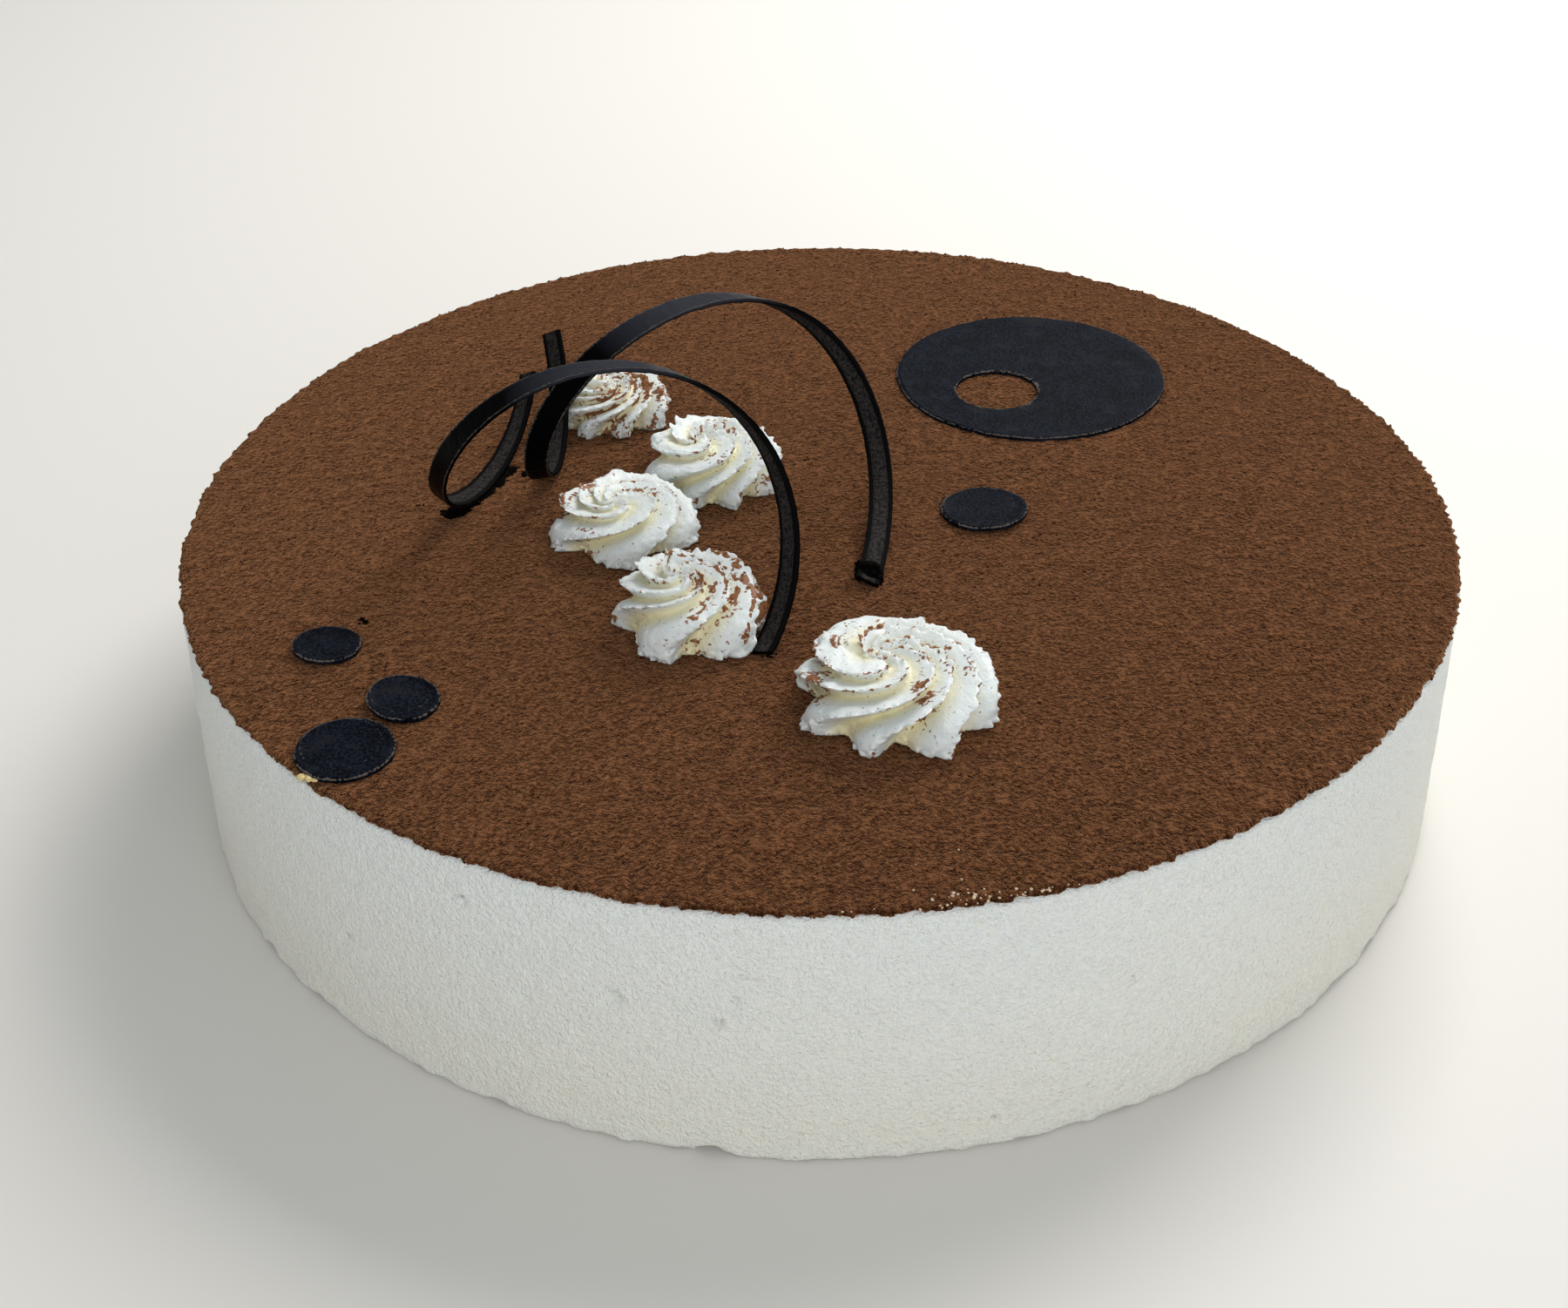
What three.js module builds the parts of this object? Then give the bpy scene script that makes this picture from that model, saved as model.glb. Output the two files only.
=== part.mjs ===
// A round tiramisu entremet. A straight-sided body of pale mousse carries a skin of cocoa powder, and on
// that lie five thin chocolate discs, two open chocolate curls and five piped rosettes of whipped cream.
// Millimetres, +Z up. The origin is the middle of the flat base, and -Y is the side the cake is seen from.
import * as THREE from 'three';

const TURN = 2 * Math.PI;

// Body and cocoa skin.
const CAKE_TOP = 50.6;
const BASE_RADIUS = 121.5;
const TOP_RADIUS = 120;
const COCOA_THICKNESS = 0.8;
const GAP = 0.3;
const MOUSSE_TOP = CAKE_TOP - COCOA_THICKNESS - GAP;
const MOUSSE_EDGE = 0.8;
const AROUND_CAKE = 96;
const WALL_LEVELS = 4;

// The wall's hand-made swell: its size, how many waves go round the cake, how far they lean over the height
// in radians per millimetre, and the seed of their phases.
const SIDE_UNEVENNESS = 0.35;
const WAVE_COUNTS = [3, 5, 8, 13, 21];
const WAVE_LEAN = 0.12;
const WAVE_SEED = 11;

// Chocolate discs: middle x and y, radius, and the slope of the upper face along x and y.
const DISC_THICKNESS = 0.8;
const DISC_EDGE = 0.2;
const DISC_SEGMENTS = 16;
const HOLED_DISC_SEGMENTS = 28;
const DISCS = {
  disc_holed: {
    x: 46.4, y: 49.9, radius: 28.2, slopeX: 0, slopeY: 0, hole: { x: -7.7, y: -6.8, radius: 8.5 },
  },
  disc_middle: { x: 31.7, y: -6, radius: 8.3, slopeX: 0.03, slopeY: -0.04 },
  disc_left_a: { x: -86.2, y: -48.9, radius: 5.9, slopeX: -0.06, slopeY: -0.05 },
  disc_left_b: { x: -70.6, y: -65.5, radius: 6.1, slopeX: -0.1, slopeY: 0.04 },
  disc_left_c: { x: -78.2, y: -78.9, radius: 8.2, slopeX: 0, slopeY: 0.02 },
};

// Chocolate curls. Each is one long flat strip wound as an open coil that lies on its side: it starts at a
// foot, climbs, crosses over, touches the cake again and rises behind to a free end. The heading is the
// compass direction of the coil's axis and climb its slope; radius, tightening and belly are the winding's
// radius at the foot, its loss over one turn and what it gains halfway; spread is the coil's width for its
// height, and pinch how much narrower it gets where it touches the cake again. Advance is how far one turn
// moves along the axis, and lag how unevenly it does. Bank tips the strip's width at no, half and one turn.
// First and last are the winding angles of the cut ends, turned back from below the axis.
const STRIP_THICKNESS = 0.8;
const STRIP_STEPS = 52;
const TANGENT_STEP = 0.001;
const CURLS = {
  curl_front: {
    foot: [-9.9, -58.7], heading: 130.7, climb: -0.6, radius: 24.7, tightening: 2.6, belly: -4.7,
    spread: 1.04, pinch: 0, advance: 81.2, lag: 12, turnedBack: 15.6, bank: [14, -2, -4], width: 4.4,
    first: 22, last: 436.8,
  },
  curl_rear: {
    foot: [4.9, -20.7], heading: 150, climb: -6.2, radius: 24.5, tightening: 5.6, belly: -4.3,
    spread: 1.38, pinch: 0.29, advance: 69.6, lag: -10.8, turnedBack: -25.6, bank: [-12, 19, 9], width: 4.5,
    first: -37.4, last: 420.5,
  },
};

// Rosettes of whipped cream. Each is one star-shaped stroke whose ridges end on the outline and wind inward
// and up to a pole that lies off the middle. Ends are the directions of the ridges' outer ends, sweep is how
// far round each ridge goes on its way in, and pole is how far off the middle the pole lies, for a radius of
// 1. Start is the side where the stroke began, on which the creases are shallowest. Where a rosette meets
// another, both are pressed flat against each other.
const ROSETTES = {
  rosette_1: {
    x: -40.8, y: 36, radius: 12.4, height: 9.2, sweep: 205, pole: [-0.15, -0.05], start: 175,
    ends: [-150, -115, -75, -30, 60, 125, 165],
  },
  rosette_2: {
    x: -19.6, y: 9.2, radius: 14, height: 10.5, sweep: 215, pole: [-0.24, -0.05], start: 165,
    ends: [-150, -106, -72, -31, 55, 140], meets: 'rosette_3',
  },
  rosette_3: {
    x: -36.2, y: -11.2, radius: 14.2, height: 9.4, sweep: 250, pole: [-0.16, -0.18], start: 140,
    ends: [-150, -75, -14, 60, 130], meets: 'rosette_2',
  },
  rosette_4: {
    x: -23.1, y: -43.6, radius: 13.6, height: 13, sweep: 215, pole: [-0.14, -0.1], start: 140,
    ends: [-105, -38, -5, 75, 140, 184],
  },
  rosette_5: {
    x: 12.2, y: -67.8, radius: 17, height: 12.2, sweep: 215, pole: [-0.24, -0.12], start: 150,
    ends: [-148, -108, -64, -19, 112, 164],
  },
};
const ROSETTE_ROWS = 16;
const COLUMNS_PER_RIDGE = 6;
const ROUNDING_POWER = 0.72;
const FLATNESS_POWER = 0.75;
const SWEEP_POWER = 0.92;
const WIDEST_AT = 0.09;
const FOOT_INSET = 0.86;
const POLE_DIP = 0.9;

// The crease behind each ridge's end: its depth for a radius of 1, the share of it that is left at the pole
// and in height, how far behind the end it lies in degrees and in ridge widths, and how blunt the ridges
// are at the pole and how much blunter at the foot. Narrow and wide ridges have shallower creases.
const CREASE_DEPTH = 0.33;
const CREASE_LEFT_AT_POLE = 0.4;
const CREASE_IN_HEIGHT = 0.75;
const CREASE_AFTER_END = 15;
const FARTHEST_CREASE = 0.36;
const BLUNTNESS = 1.15;
const BLUNTER_AT_FOOT = 1.3;
const FULL_RIDGE_WIDTH = 42;
const NARROW_RIDGE_CREASE = 0.45;
const WIDE_RIDGE_CREASE = 0.7;
const CREASE_ALL_ROUND = 0.86;
const SHALLOWER_AT_START = 0.14;

const FINISHES = {
  mousse: { color: 0xe9e4d2, roughness: 0.75 },
  cocoa: { color: 0x6b4226, roughness: 0.95 },
  chocolate: { color: 0x25262b, roughness: 0.45 },
  curl: { color: 0x1d1b1b, roughness: 0.35 },
  cream: { color: 0xf1f0e6, roughness: 0.55 },
};

function degrees(angle) {
  return (angle * Math.PI) / 180;
}

function mix(from, to, share) {
  return from + (to - from) * share;
}

function mesh(name, geometry, finish) {
  const made = new THREE.Mesh(geometry, new THREE.MeshStandardMaterial({ ...finish, metalness: 0 }));
  made.name = name;
  return made;
}

// A repeatable draw between 0 and 1 for each call.
function seededDraw(seed) {
  const multiplier = 1664525;
  const increment = 1013904223;
  const range = 2 ** 32;
  let state = seed;
  return () => {
    state = (state * multiplier + increment) % range;
    return state / range;
  };
}

// A gentle wave round the cake, which closes on itself: between -1 and 1, at an angle and a height.
function handWorkedWave() {
  const draw = seededDraw(WAVE_SEED);
  const waves = WAVE_COUNTS.map((count) => ({ count, phase: draw() * TURN, lean: draw() * WAVE_LEAN }));
  return (angle, height) =>
    waves.reduce((sum, w) => sum + Math.sin(w.count * angle + w.phase + w.lean * height), 0) / waves.length;
}

// Moves each vertex of a geometry that stands on the Z axis to the place that a function gives for it.
function reshape(geometry, place) {
  const points = geometry.getAttribute('position');
  const point = new THREE.Vector3();
  for (let i = 0; i < points.count; i++) {
    point.fromBufferAttribute(points, i);
    place(point);
    points.setXYZ(i, point.x, point.y, point.z);
  }
  geometry.computeVertexNormals();
  return geometry;
}

// A turned solid that stands along Z, from a profile of [radius, height] pairs that goes up from the axis.
function turned(profile, around) {
  const outline = profile.map(([radius, height]) => new THREE.Vector2(radius, height));
  return new THREE.LatheGeometry(outline, around).rotateX(Math.PI / 2);
}

// Pushes the wall of a turned solid in and out by an uneven wave, and leaves its flat faces flat.
function roughenWall(geometry, wallFrom) {
  const wave = handWorkedWave();
  return reshape(geometry, (p) => {
    const radius = Math.hypot(p.x, p.y);
    if (radius < wallFrom) {
      return;
    }
    const grown = 1 + (SIDE_UNEVENNESS * wave(Math.atan2(p.y, p.x), p.z)) / radius;
    p.x *= grown;
    p.y *= grown;
  });
}

function mousseBody() {
  const profile = [[0, 0], [BASE_RADIUS - MOUSSE_EDGE, 0]];
  for (let i = 0; i <= WALL_LEVELS; i++) {
    const share = i / WALL_LEVELS;
    profile.push([mix(BASE_RADIUS, TOP_RADIUS, share), mix(MOUSSE_EDGE, MOUSSE_TOP - MOUSSE_EDGE, share)]);
  }
  profile.push([TOP_RADIUS - MOUSSE_EDGE, MOUSSE_TOP], [0, MOUSSE_TOP]);
  return roughenWall(turned(profile, AROUND_CAKE), TOP_RADIUS - 2 * MOUSSE_EDGE);
}

function cocoaLayer() {
  const low = CAKE_TOP - COCOA_THICKNESS;
  const profile = [
    [0, low],
    [TOP_RADIUS - COCOA_THICKNESS, low],
    [TOP_RADIUS, low + COCOA_THICKNESS / 2],
    [TOP_RADIUS - COCOA_THICKNESS, CAKE_TOP],
    [0, CAKE_TOP],
  ];
  return roughenWall(turned(profile, AROUND_CAKE), TOP_RADIUS - 2 * COCOA_THICKNESS);
}

// A thin disc cut from a sheet of chocolate, with soft edges, lying on the cocoa or propped a little aslant.
function chocolateDisc({ x, y, radius, slopeX, slopeY, hole }) {
  const outline = new THREE.Shape();
  outline.absarc(0, 0, radius - DISC_EDGE, 0, TURN, false);
  if (hole) {
    const opening = new THREE.Path();
    opening.absarc(hole.x, hole.y, hole.radius + DISC_EDGE, 0, TURN, true);
    outline.holes.push(opening);
  }
  const geometry = new THREE.ExtrudeGeometry(outline, {
    depth: DISC_THICKNESS - 2 * DISC_EDGE,
    bevelThickness: DISC_EDGE,
    bevelSize: DISC_EDGE,
    bevelSegments: 1,
    curveSegments: hole ? HOLED_DISC_SEGMENTS : DISC_SEGMENTS,
  });
  const lift = DISC_EDGE + radius * Math.hypot(slopeX, slopeY);
  return geometry
    .rotateX(Math.atan(slopeY))
    .rotateY(-Math.atan(slopeX))
    .translate(x, y, CAKE_TOP + GAP + lift);
}

// The value at a share of a turn of something given at no, half and one turn.
function overTurn([atStart, atHalf, atEnd], turns) {
  const slope = 4 * atHalf - 3 * atStart - atEnd;
  const bend = 2 * (atStart + atEnd) - 4 * atHalf;
  return atStart + slope * turns + bend * turns * turns;
}

// The directions along a coil's axis, up from it and to its side.
function coilAxes(curl) {
  const heading = degrees(curl.heading);
  const climb = degrees(curl.climb);
  const along = new THREE.Vector3(Math.cos(heading), Math.sin(heading), 0);
  along.multiplyScalar(Math.cos(climb)).setZ(Math.sin(climb));
  const upward = new THREE.Vector3(-Math.cos(heading), -Math.sin(heading), 0);
  upward.multiplyScalar(Math.sin(climb)).setZ(Math.cos(climb));
  const aside = new THREE.Vector3().crossVectors(along, upward);
  return { along, upward, aside };
}

// The point of the strip's middle line at a winding angle.
function coilPoint(curl, { along, upward, aside }, angle) {
  const turns = angle / TURN;
  const wound = angle - degrees(curl.turnedBack);
  const radius = curl.radius - curl.tightening * turns + curl.belly * 4 * turns * (1 - turns);
  const halfWidth = radius * curl.spread * (1 - (curl.pinch * turns * (1 + Math.cos(wound))) / 2);
  return new THREE.Vector3(curl.foot[0], curl.foot[1], CAKE_TOP)
    .addScaledVector(along, curl.advance * turns + curl.lag * (turns * turns - turns))
    .addScaledVector(aside, halfWidth * Math.sin(wound))
    .addScaledVector(upward, curl.radius - radius * Math.cos(wound));
}

// The strip's middle at a winding angle, with the directions of its width and of its outer face.
function stripFrame(curl, axes, angle) {
  const middle = coilPoint(curl, axes, angle);
  const before = coilPoint(curl, axes, angle - TANGENT_STEP);
  const forward = coilPoint(curl, axes, angle + TANGENT_STEP).sub(before).normalize();
  const wound = angle - degrees(curl.turnedBack);
  const outward = new THREE.Vector3()
    .addScaledVector(axes.aside, Math.sin(wound))
    .addScaledVector(axes.upward, -Math.cos(wound));
  outward.addScaledVector(forward, -outward.dot(forward)).normalize();
  const across = new THREE.Vector3().crossVectors(outward, forward);
  const bank = degrees(overTurn(curl.bank, angle / TURN));
  across.applyAxisAngle(forward, -bank);
  outward.applyAxisAngle(forward, -bank);
  return { middle, outward, across };
}

function chocolateCurl(curl) {
  const strip = new THREE.BoxGeometry(curl.width, STRIP_THICKNESS, 1, 1, 1, STRIP_STEPS).translate(0, 0, 0.5);
  const axes = coilAxes(curl);
  const first = degrees(curl.first);
  const last = degrees(curl.last);
  const geometry = reshape(strip, (p) => {
    const { middle, across, outward } = stripFrame(curl, axes, mix(first, last, p.z));
    middle.addScaledVector(across, p.x).addScaledVector(outward, p.y);
    p.copy(middle);
  });
  geometry.computeBoundingBox();
  return geometry.translate(0, 0, CAKE_TOP + GAP - geometry.boundingBox.min.z);
}

// Holds a point of one rosette back at the upright plane where its neighbour begins.
function pressFlat(point, own, neighbour) {
  const towards = new THREE.Vector2(neighbour.x - own.x, neighbour.y - own.y);
  const apart = towards.length();
  towards.divideScalar(apart);
  const share = own.radius / (own.radius + neighbour.radius);
  const limit = apart * share - GAP / 2;
  const beyond = (point.x - own.x) * towards.x + (point.y - own.y) * towards.y - limit;
  if (beyond > 0) {
    point.x -= beyond * towards.x;
    point.y -= beyond * towards.y;
  }
}

// One upright column of a rosette: how far it lies from its ridge's end towards the next one, its direction
// at the foot, and how deep it lies in the crease. The first column of a ridge is its end and the second is
// the bottom of the crease.
function ridgeColumn({ ends, start }, column) {
  const ridge = Math.floor(column / COLUMNS_PER_RIDGE);
  const step = column % COLUMNS_PER_RIDGE;
  const next = ridge + 1 < ends.length ? ends[ridge + 1] : ends[0] + 360;
  const width = next - ends[ridge];
  const creaseAt = Math.min(FARTHEST_CREASE, CREASE_AFTER_END / width);
  const part = step === 0 ? 0 : mix(creaseAt, 1, (step - 1) / (COLUMNS_PER_RIDGE - 1));
  const direction = ends[ridge] + part * width;
  const valley = Math.sin(Math.PI * part ** (Math.log(0.5) / Math.log(creaseAt)));
  const forWidth = Math.min(1, Math.max(NARROW_RIDGE_CREASE, width / FULL_RIDGE_WIDTH));
  const ifWide = width > 2 * FULL_RIDGE_WIDTH ? WIDE_RIDGE_CREASE : 1;
  const forSide = CREASE_ALL_ROUND - SHALLOWER_AT_START * Math.cos(degrees(direction - start));
  return { direction, valley, depth: CREASE_DEPTH * forWidth * ifWide * forSide };
}

// A rosette's solid: a flat base and a dome whose columns of vertices follow the ridges and the creases
// between them, so that every crest is a line of edges that winds up to the pole.
function rosette(settings) {
  const { x, y, radius, height, sweep, pole, ends, meets } = settings;
  const profile = [[0, 0], [1, 0]];
  for (let i = 0; i <= ROSETTE_ROWS; i++) {
    profile.push([i === ROSETTE_ROWS ? 0 : 1, 1 + i]);
  }
  const around = ends.length * COLUMNS_PER_RIDGE;
  return reshape(turned(profile, around), (p) => {
    const onAxis = Math.round(Math.hypot(p.x, p.y)) === 0;
    const row = Math.round(p.z);
    const rise = (Math.max(row - 1, 0) / ROSETTE_ROWS) * (Math.PI / 2);
    const out = onAxis ? 0 : Math.cos(rise) ** ROUNDING_POWER;
    const up = row === 0 ? 0 : mix(WIDEST_AT, 1, Math.sin(rise) ** FLATNESS_POWER);
    const place = Math.round((Math.atan2(p.x, -p.y) / TURN) * around);
    const { direction, valley, depth } = ridgeColumn(settings, (place + around) % around);
    const sharpened = valley ** (BLUNTNESS + BLUNTER_AT_FOOT * out ** 4);
    const sunk = depth * mix(CREASE_LEFT_AT_POLE, 1, out) * sharpened;
    const bearing = degrees(direction + sweep * (1 - out) ** SWEEP_POWER);
    const reach = out * (1 - sunk) * (row === 0 ? FOOT_INSET : 1);
    p.x = x + radius * (reach * Math.cos(bearing) + (1 - out) * pole[0]);
    p.y = y + radius * (reach * Math.sin(bearing) + (1 - out) * pole[1]);
    p.z = CAKE_TOP + GAP;
    if (row > 0) {
      p.z += height * up * (1 - CREASE_IN_HEIGHT * sunk) - POLE_DIP * (1 - out) ** 3;
    }
    if (meets) {
      pressFlat(p, { x, y, radius }, ROSETTES[meets]);
    }
  });
}

const cake = new THREE.Group();
cake.add(mesh('mousse_body', mousseBody(), FINISHES.mousse));
cake.add(mesh('cocoa_layer', cocoaLayer(), FINISHES.cocoa));
for (const [name, disc] of Object.entries(DISCS)) {
  cake.add(mesh(name, chocolateDisc(disc), FINISHES.chocolate));
}
for (const [name, curl] of Object.entries(CURLS)) {
  cake.add(mesh(name, chocolateCurl(curl), FINISHES.curl));
}
for (const [name, settings] of Object.entries(ROSETTES)) {
  cake.add(mesh(name, rosette(settings), FINISHES.cream));
}

export default cake;
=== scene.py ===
import math

import bpy
import numpy as np
from mathutils import Matrix, Vector


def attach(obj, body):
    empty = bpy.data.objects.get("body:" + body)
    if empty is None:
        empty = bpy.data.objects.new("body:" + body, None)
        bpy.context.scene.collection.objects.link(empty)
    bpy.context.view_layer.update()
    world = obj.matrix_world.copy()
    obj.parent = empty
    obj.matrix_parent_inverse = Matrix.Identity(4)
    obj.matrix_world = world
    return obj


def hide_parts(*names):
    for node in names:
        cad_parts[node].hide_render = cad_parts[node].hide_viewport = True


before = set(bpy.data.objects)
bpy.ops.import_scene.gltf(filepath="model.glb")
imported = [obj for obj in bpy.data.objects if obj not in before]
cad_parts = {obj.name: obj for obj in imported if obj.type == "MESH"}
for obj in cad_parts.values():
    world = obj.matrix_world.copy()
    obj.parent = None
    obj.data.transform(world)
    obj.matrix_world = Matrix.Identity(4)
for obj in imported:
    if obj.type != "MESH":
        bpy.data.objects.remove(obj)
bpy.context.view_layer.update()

# The view: a hand-held camera in front of the cake, looking down on it by about a third of a right angle
# and leaning over a very little. Metres and degrees, in the cake's own frame.
CAMERA_PLACE = Vector((-0.0068, -0.3517, 0.2559))
LOOK_DOWN = math.radians(34.46)
LEAN = math.radians(-0.92)
LENS_MM = 48.28
SENSOR_MM = 36


def new_object(name, data):
    made = bpy.data.objects.new(name, data)
    bpy.context.scene.collection.objects.link(made)
    return made


lens = bpy.data.cameras.new("camera")
lens.lens = LENS_MM
lens.sensor_width = SENSOR_MM
camera = new_object("camera", lens)
camera.matrix_world = (
    Matrix.Translation(CAMERA_PLACE)
    @ Matrix.Rotation(math.pi / 2 - LOOK_DOWN, 4, "X")
    @ Matrix.Rotation(LEAN, 4, "Z")
)
bpy.context.scene.camera = camera


# The table: a plain pale floor under plain soft studio light. One broad light stands behind to the right,
# a weaker one in front to the left, and a pale surround fills the shadows.
FLOOR_COLOUR = (0.70, 0.68, 0.64)
LIGHTS = {
    "key_light": {"place": (0.40, 0.60, 0.78), "width": 0.6, "watts": 10.8, "colour": (1.0, 0.985, 0.96)},
    "fill_light": {"place": (0.18, -1.00, 0.42), "width": 0.9, "watts": 4.9, "colour": (0.96, 0.98, 1.0)},
}
SURROUND_COLOUR = (0.95, 0.98, 1.0)
SURROUND_STRENGTH = 0.47
FLOOR_REACH = 3.0
FLOOR_LEVEL = -0.0002

floor_mesh = bpy.data.meshes.new("floor")
corners = [(-FLOOR_REACH, -FLOOR_REACH), (FLOOR_REACH, -FLOOR_REACH), (FLOOR_REACH, FLOOR_REACH),
           (-FLOOR_REACH, FLOOR_REACH)]
floor_mesh.from_pydata([(x, y, FLOOR_LEVEL) for x, y in corners], [], [(0, 1, 2, 3)])
floor = new_object("floor", floor_mesh)
floor_paint = bpy.data.materials.new("floor_paint")
floor_paint.use_nodes = True
floor_shader = floor_paint.node_tree.nodes["Principled BSDF"]
floor_shader.inputs["Base Color"].default_value = (*FLOOR_COLOUR, 1)
floor_shader.inputs["Roughness"].default_value = 0.7
floor.data.materials.append(floor_paint)

for name, light in LIGHTS.items():
    lamp = bpy.data.lights.new(name, "AREA")
    lamp.size = light["width"]
    lamp.energy = light["watts"]
    lamp.color = light["colour"]
    holder = new_object(name, lamp)
    holder.location = light["place"]
    holder.rotation_euler = (-Vector(light["place"])).to_track_quat("-Z", "Y").to_euler()

surround = bpy.data.worlds.new("surround")
surround.use_nodes = True
surround_light = surround.node_tree.nodes["Background"].inputs
surround_light["Color"].default_value = (*SURROUND_COLOUR, 1)
surround_light["Strength"].default_value = SURROUND_STRENGTH
bpy.context.scene.world = surround
bpy.context.scene.view_settings.view_transform = "Standard"
bpy.context.scene.view_settings.look = "None"


# The body: one straight-sided round of set ivory mousse, a little wider at its foot. The ring it was
# frozen in left a fine pitted skin, a few burst bubbles, and a foot that is ragged where it was lifted off.
MM = 0.001
BODY_BASE_RADIUS = 121.5
BODY_TOP_RADIUS = 120.0
BODY_HEIGHT = 49.9
BODY_AROUND = 1040
BODY_ROWS = 68
EDGE_ROUNDING = 0.7
WALL_FROM = 0.25
PIT_SHARE = 0.55
RAGGED_UP_TO = 2.2
LIFTED_UP_TO = 2.5
# Burst bubbles and short creases: direction round the cake in degrees, height, half height, depth, and how
# many times as wide as high they are.
BUBBLES = [(-98.6, 28.4, 1.0, 0.8, 1.2), (-97.1, 33.3, 0.8, 0.5, 1), (-106.1, 30.8, 1.1, 0.9, 1.2),
           (-118.2, 42.5, 1.0, 0.6, 0.9), (-67.1, 28.3, 0.6, 0.4, 1), (-78.0, 6.0, 0.6, 0.4, 1),
           (-63.8, 26.0, 0.5, 0.4, 1), (-131.0, 22.0, 0.6, 0.4, 1), (40.0, 30.0, 1.0, 0.6, 1),
           (118.0, 18.0, 0.8, 0.5, 1.3), (165.0, 34.0, 1.1, 0.6, 1), (-12.0, 26.0, 0.8, 0.5, 1),
           (77.0, 12.0, 0.7, 0.4, 1.2), (-96.0, 37.6, 0.5, 0.3, 9), (-103.0, 9.5, 0.35, 0.25, 6),
           (100.0, 36.0, 0.45, 0.3, 8), (10.0, 14.0, 0.4, 0.25, 7)]
BUBBLE_DEEPER = 1.7
BUBBLE_LIP = 0.3
FOOT_NOTCH = {"direction": -99.5, "half_width": 2.4, "height": 1.7}
# The mousse colours: a painted tint of bounced light, warmer at the foot and cooler at the top, painted shade
# in the pits, and painted shadow under the lip of each bubble.
MOUSSE_LOW = (0.85, 0.835, 0.75)
MOUSSE_HIGH = (0.83, 0.85, 0.82)
MOUSSE_PIT_SHADE = (0.79, 0.77, 0.68)
MOUSSE_SHADE = (0.33, 0.28, 0.17)


def soft_noise(points, cell, seed):
    """Smooth random values between -1 and 1, which change over about one cell."""
    low = np.floor(points / cell).astype(np.int64)
    part = points / cell - low
    part = part * part * (3 - 2 * part)
    total = np.zeros(len(points))
    for corner in np.ndindex(2, 2, 2):
        key = (low + corner) @ np.array([73856093, 19349663, 83492791]) + seed * 7919
        key = (key ^ (key >> 13)) * 1274126177
        value = ((key ^ (key >> 17)) & 65535) / 32767.5 - 1
        total += np.prod(np.where(corner, part, 1 - part), axis=1) * value
    return total


def piece_from(name, points, faces, material, replaced=None):
    """A piece of the cake from points in millimetres, finished and tied to the body of the cake."""
    mesh = bpy.data.meshes.new(name)
    mesh.from_pydata((np.asarray(points) * MM).tolist(), [], faces)
    mesh.validate()
    mesh.materials.append(material)
    mesh.shade_smooth()
    piece = new_object(name, mesh)
    finish_piece(piece, replaced)
    return piece


def finish_piece(piece, replaced=None):
    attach(piece, "root")
    if replaced:
        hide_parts(replaced)


def ring_faces(rows, around):
    """Four-sided faces between rings of points, where a row with one point closes the shape."""
    faces = []
    start = 0
    for row in range(len(rows) - 1):
        here, there = rows[row], rows[row + 1]
        after = start + here
        for i in range(around):
            j = (i + 1) % around
            if here == 1:
                faces.append((start, after + j, after + i))
            elif there == 1:
                faces.append((start + i, start + j, after))
            else:
                faces.append((start + i, start + j, after + j, after + i))
        start = after
    return faces


def new_material(name):
    material = bpy.data.materials.new(name)
    material.use_nodes = True
    return material, material.node_tree, material.node_tree.nodes["Principled BSDF"]


def set_inputs(tree, node, **inputs):
    """Sets or links inputs of a node, each named by its words, or by _ and its number."""
    for key, value in inputs.items():
        socket = node.inputs[int(key[1:]) if key[0] == "_" else key.replace("_", " ")]
        if isinstance(value, bpy.types.NodeSocket):
            tree.links.new(value, socket)
        else:
            socket.default_value = value


def add_node(tree, kind, settings=None, **inputs):
    node = tree.nodes.new(kind)
    for key, value in (settings or {}).items():
        setattr(node, key, value)
    set_inputs(tree, node, **inputs)
    return node


def reckon(tree, operation, *values):
    """The result of a sum on varying values, such as MULTIPLY or MULTIPLY_ADD."""
    inputs = {f"_{number}": value for number, value in enumerate(values)}
    return add_node(tree, "ShaderNodeMath", {"operation": operation}, **inputs).outputs[0]


def own_place(tree):
    return add_node(tree, "ShaderNodeTexCoord").outputs["Object"]


def noise(tree, scale, detail):
    clouds = add_node(tree, "ShaderNodeTexNoise", Vector=own_place(tree), Scale=scale, Detail=detail)
    return clouds.outputs["Fac"]


def marked(tree, name, output="Fac"):
    """A value that the mesh carries at its points under a name."""
    return add_node(tree, "ShaderNodeAttribute", {"attribute_name": name}).outputs[output]


def grain_group():
    """Shader nodes for an uneven surface: a coarse and a fine grain, as a height and as a mask."""
    tree = bpy.data.node_groups.new("uneven_grain", "ShaderNodeTree")
    for name, value in (("Coarse Scale", 200.0), ("Fine Scale", 900.0), ("Fine Share", 0.4)):
        socket = tree.interface.new_socket(name, in_out="INPUT", socket_type="NodeSocketFloat")
        socket.default_value = value
    for name in ("Height", "Patches"):
        tree.interface.new_socket(name, in_out="OUTPUT", socket_type="NodeSocketFloat")
    given = tree.nodes.new("NodeGroupInput").outputs
    coarse = noise(tree, given["Coarse Scale"], 3.0)
    fine = noise(tree, given["Fine Scale"], 2.0)
    height = add_node(tree, "ShaderNodeMix", {"data_type": "FLOAT"}, _0=given["Fine Share"], _2=coarse,
                      _3=fine)
    set_inputs(tree, tree.nodes.new("NodeGroupOutput"), Height=height.outputs[0], Patches=coarse)
    return tree


UNEVEN_GRAIN = grain_group()


def uneven_grain(tree, coarse, fine, share):
    group = add_node(tree, "ShaderNodeGroup", {"node_tree": UNEVEN_GRAIN}, Coarse_Scale=coarse,
                     Fine_Scale=fine, Fine_Share=share)
    return group.outputs["Height"], group.outputs["Patches"]


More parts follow.
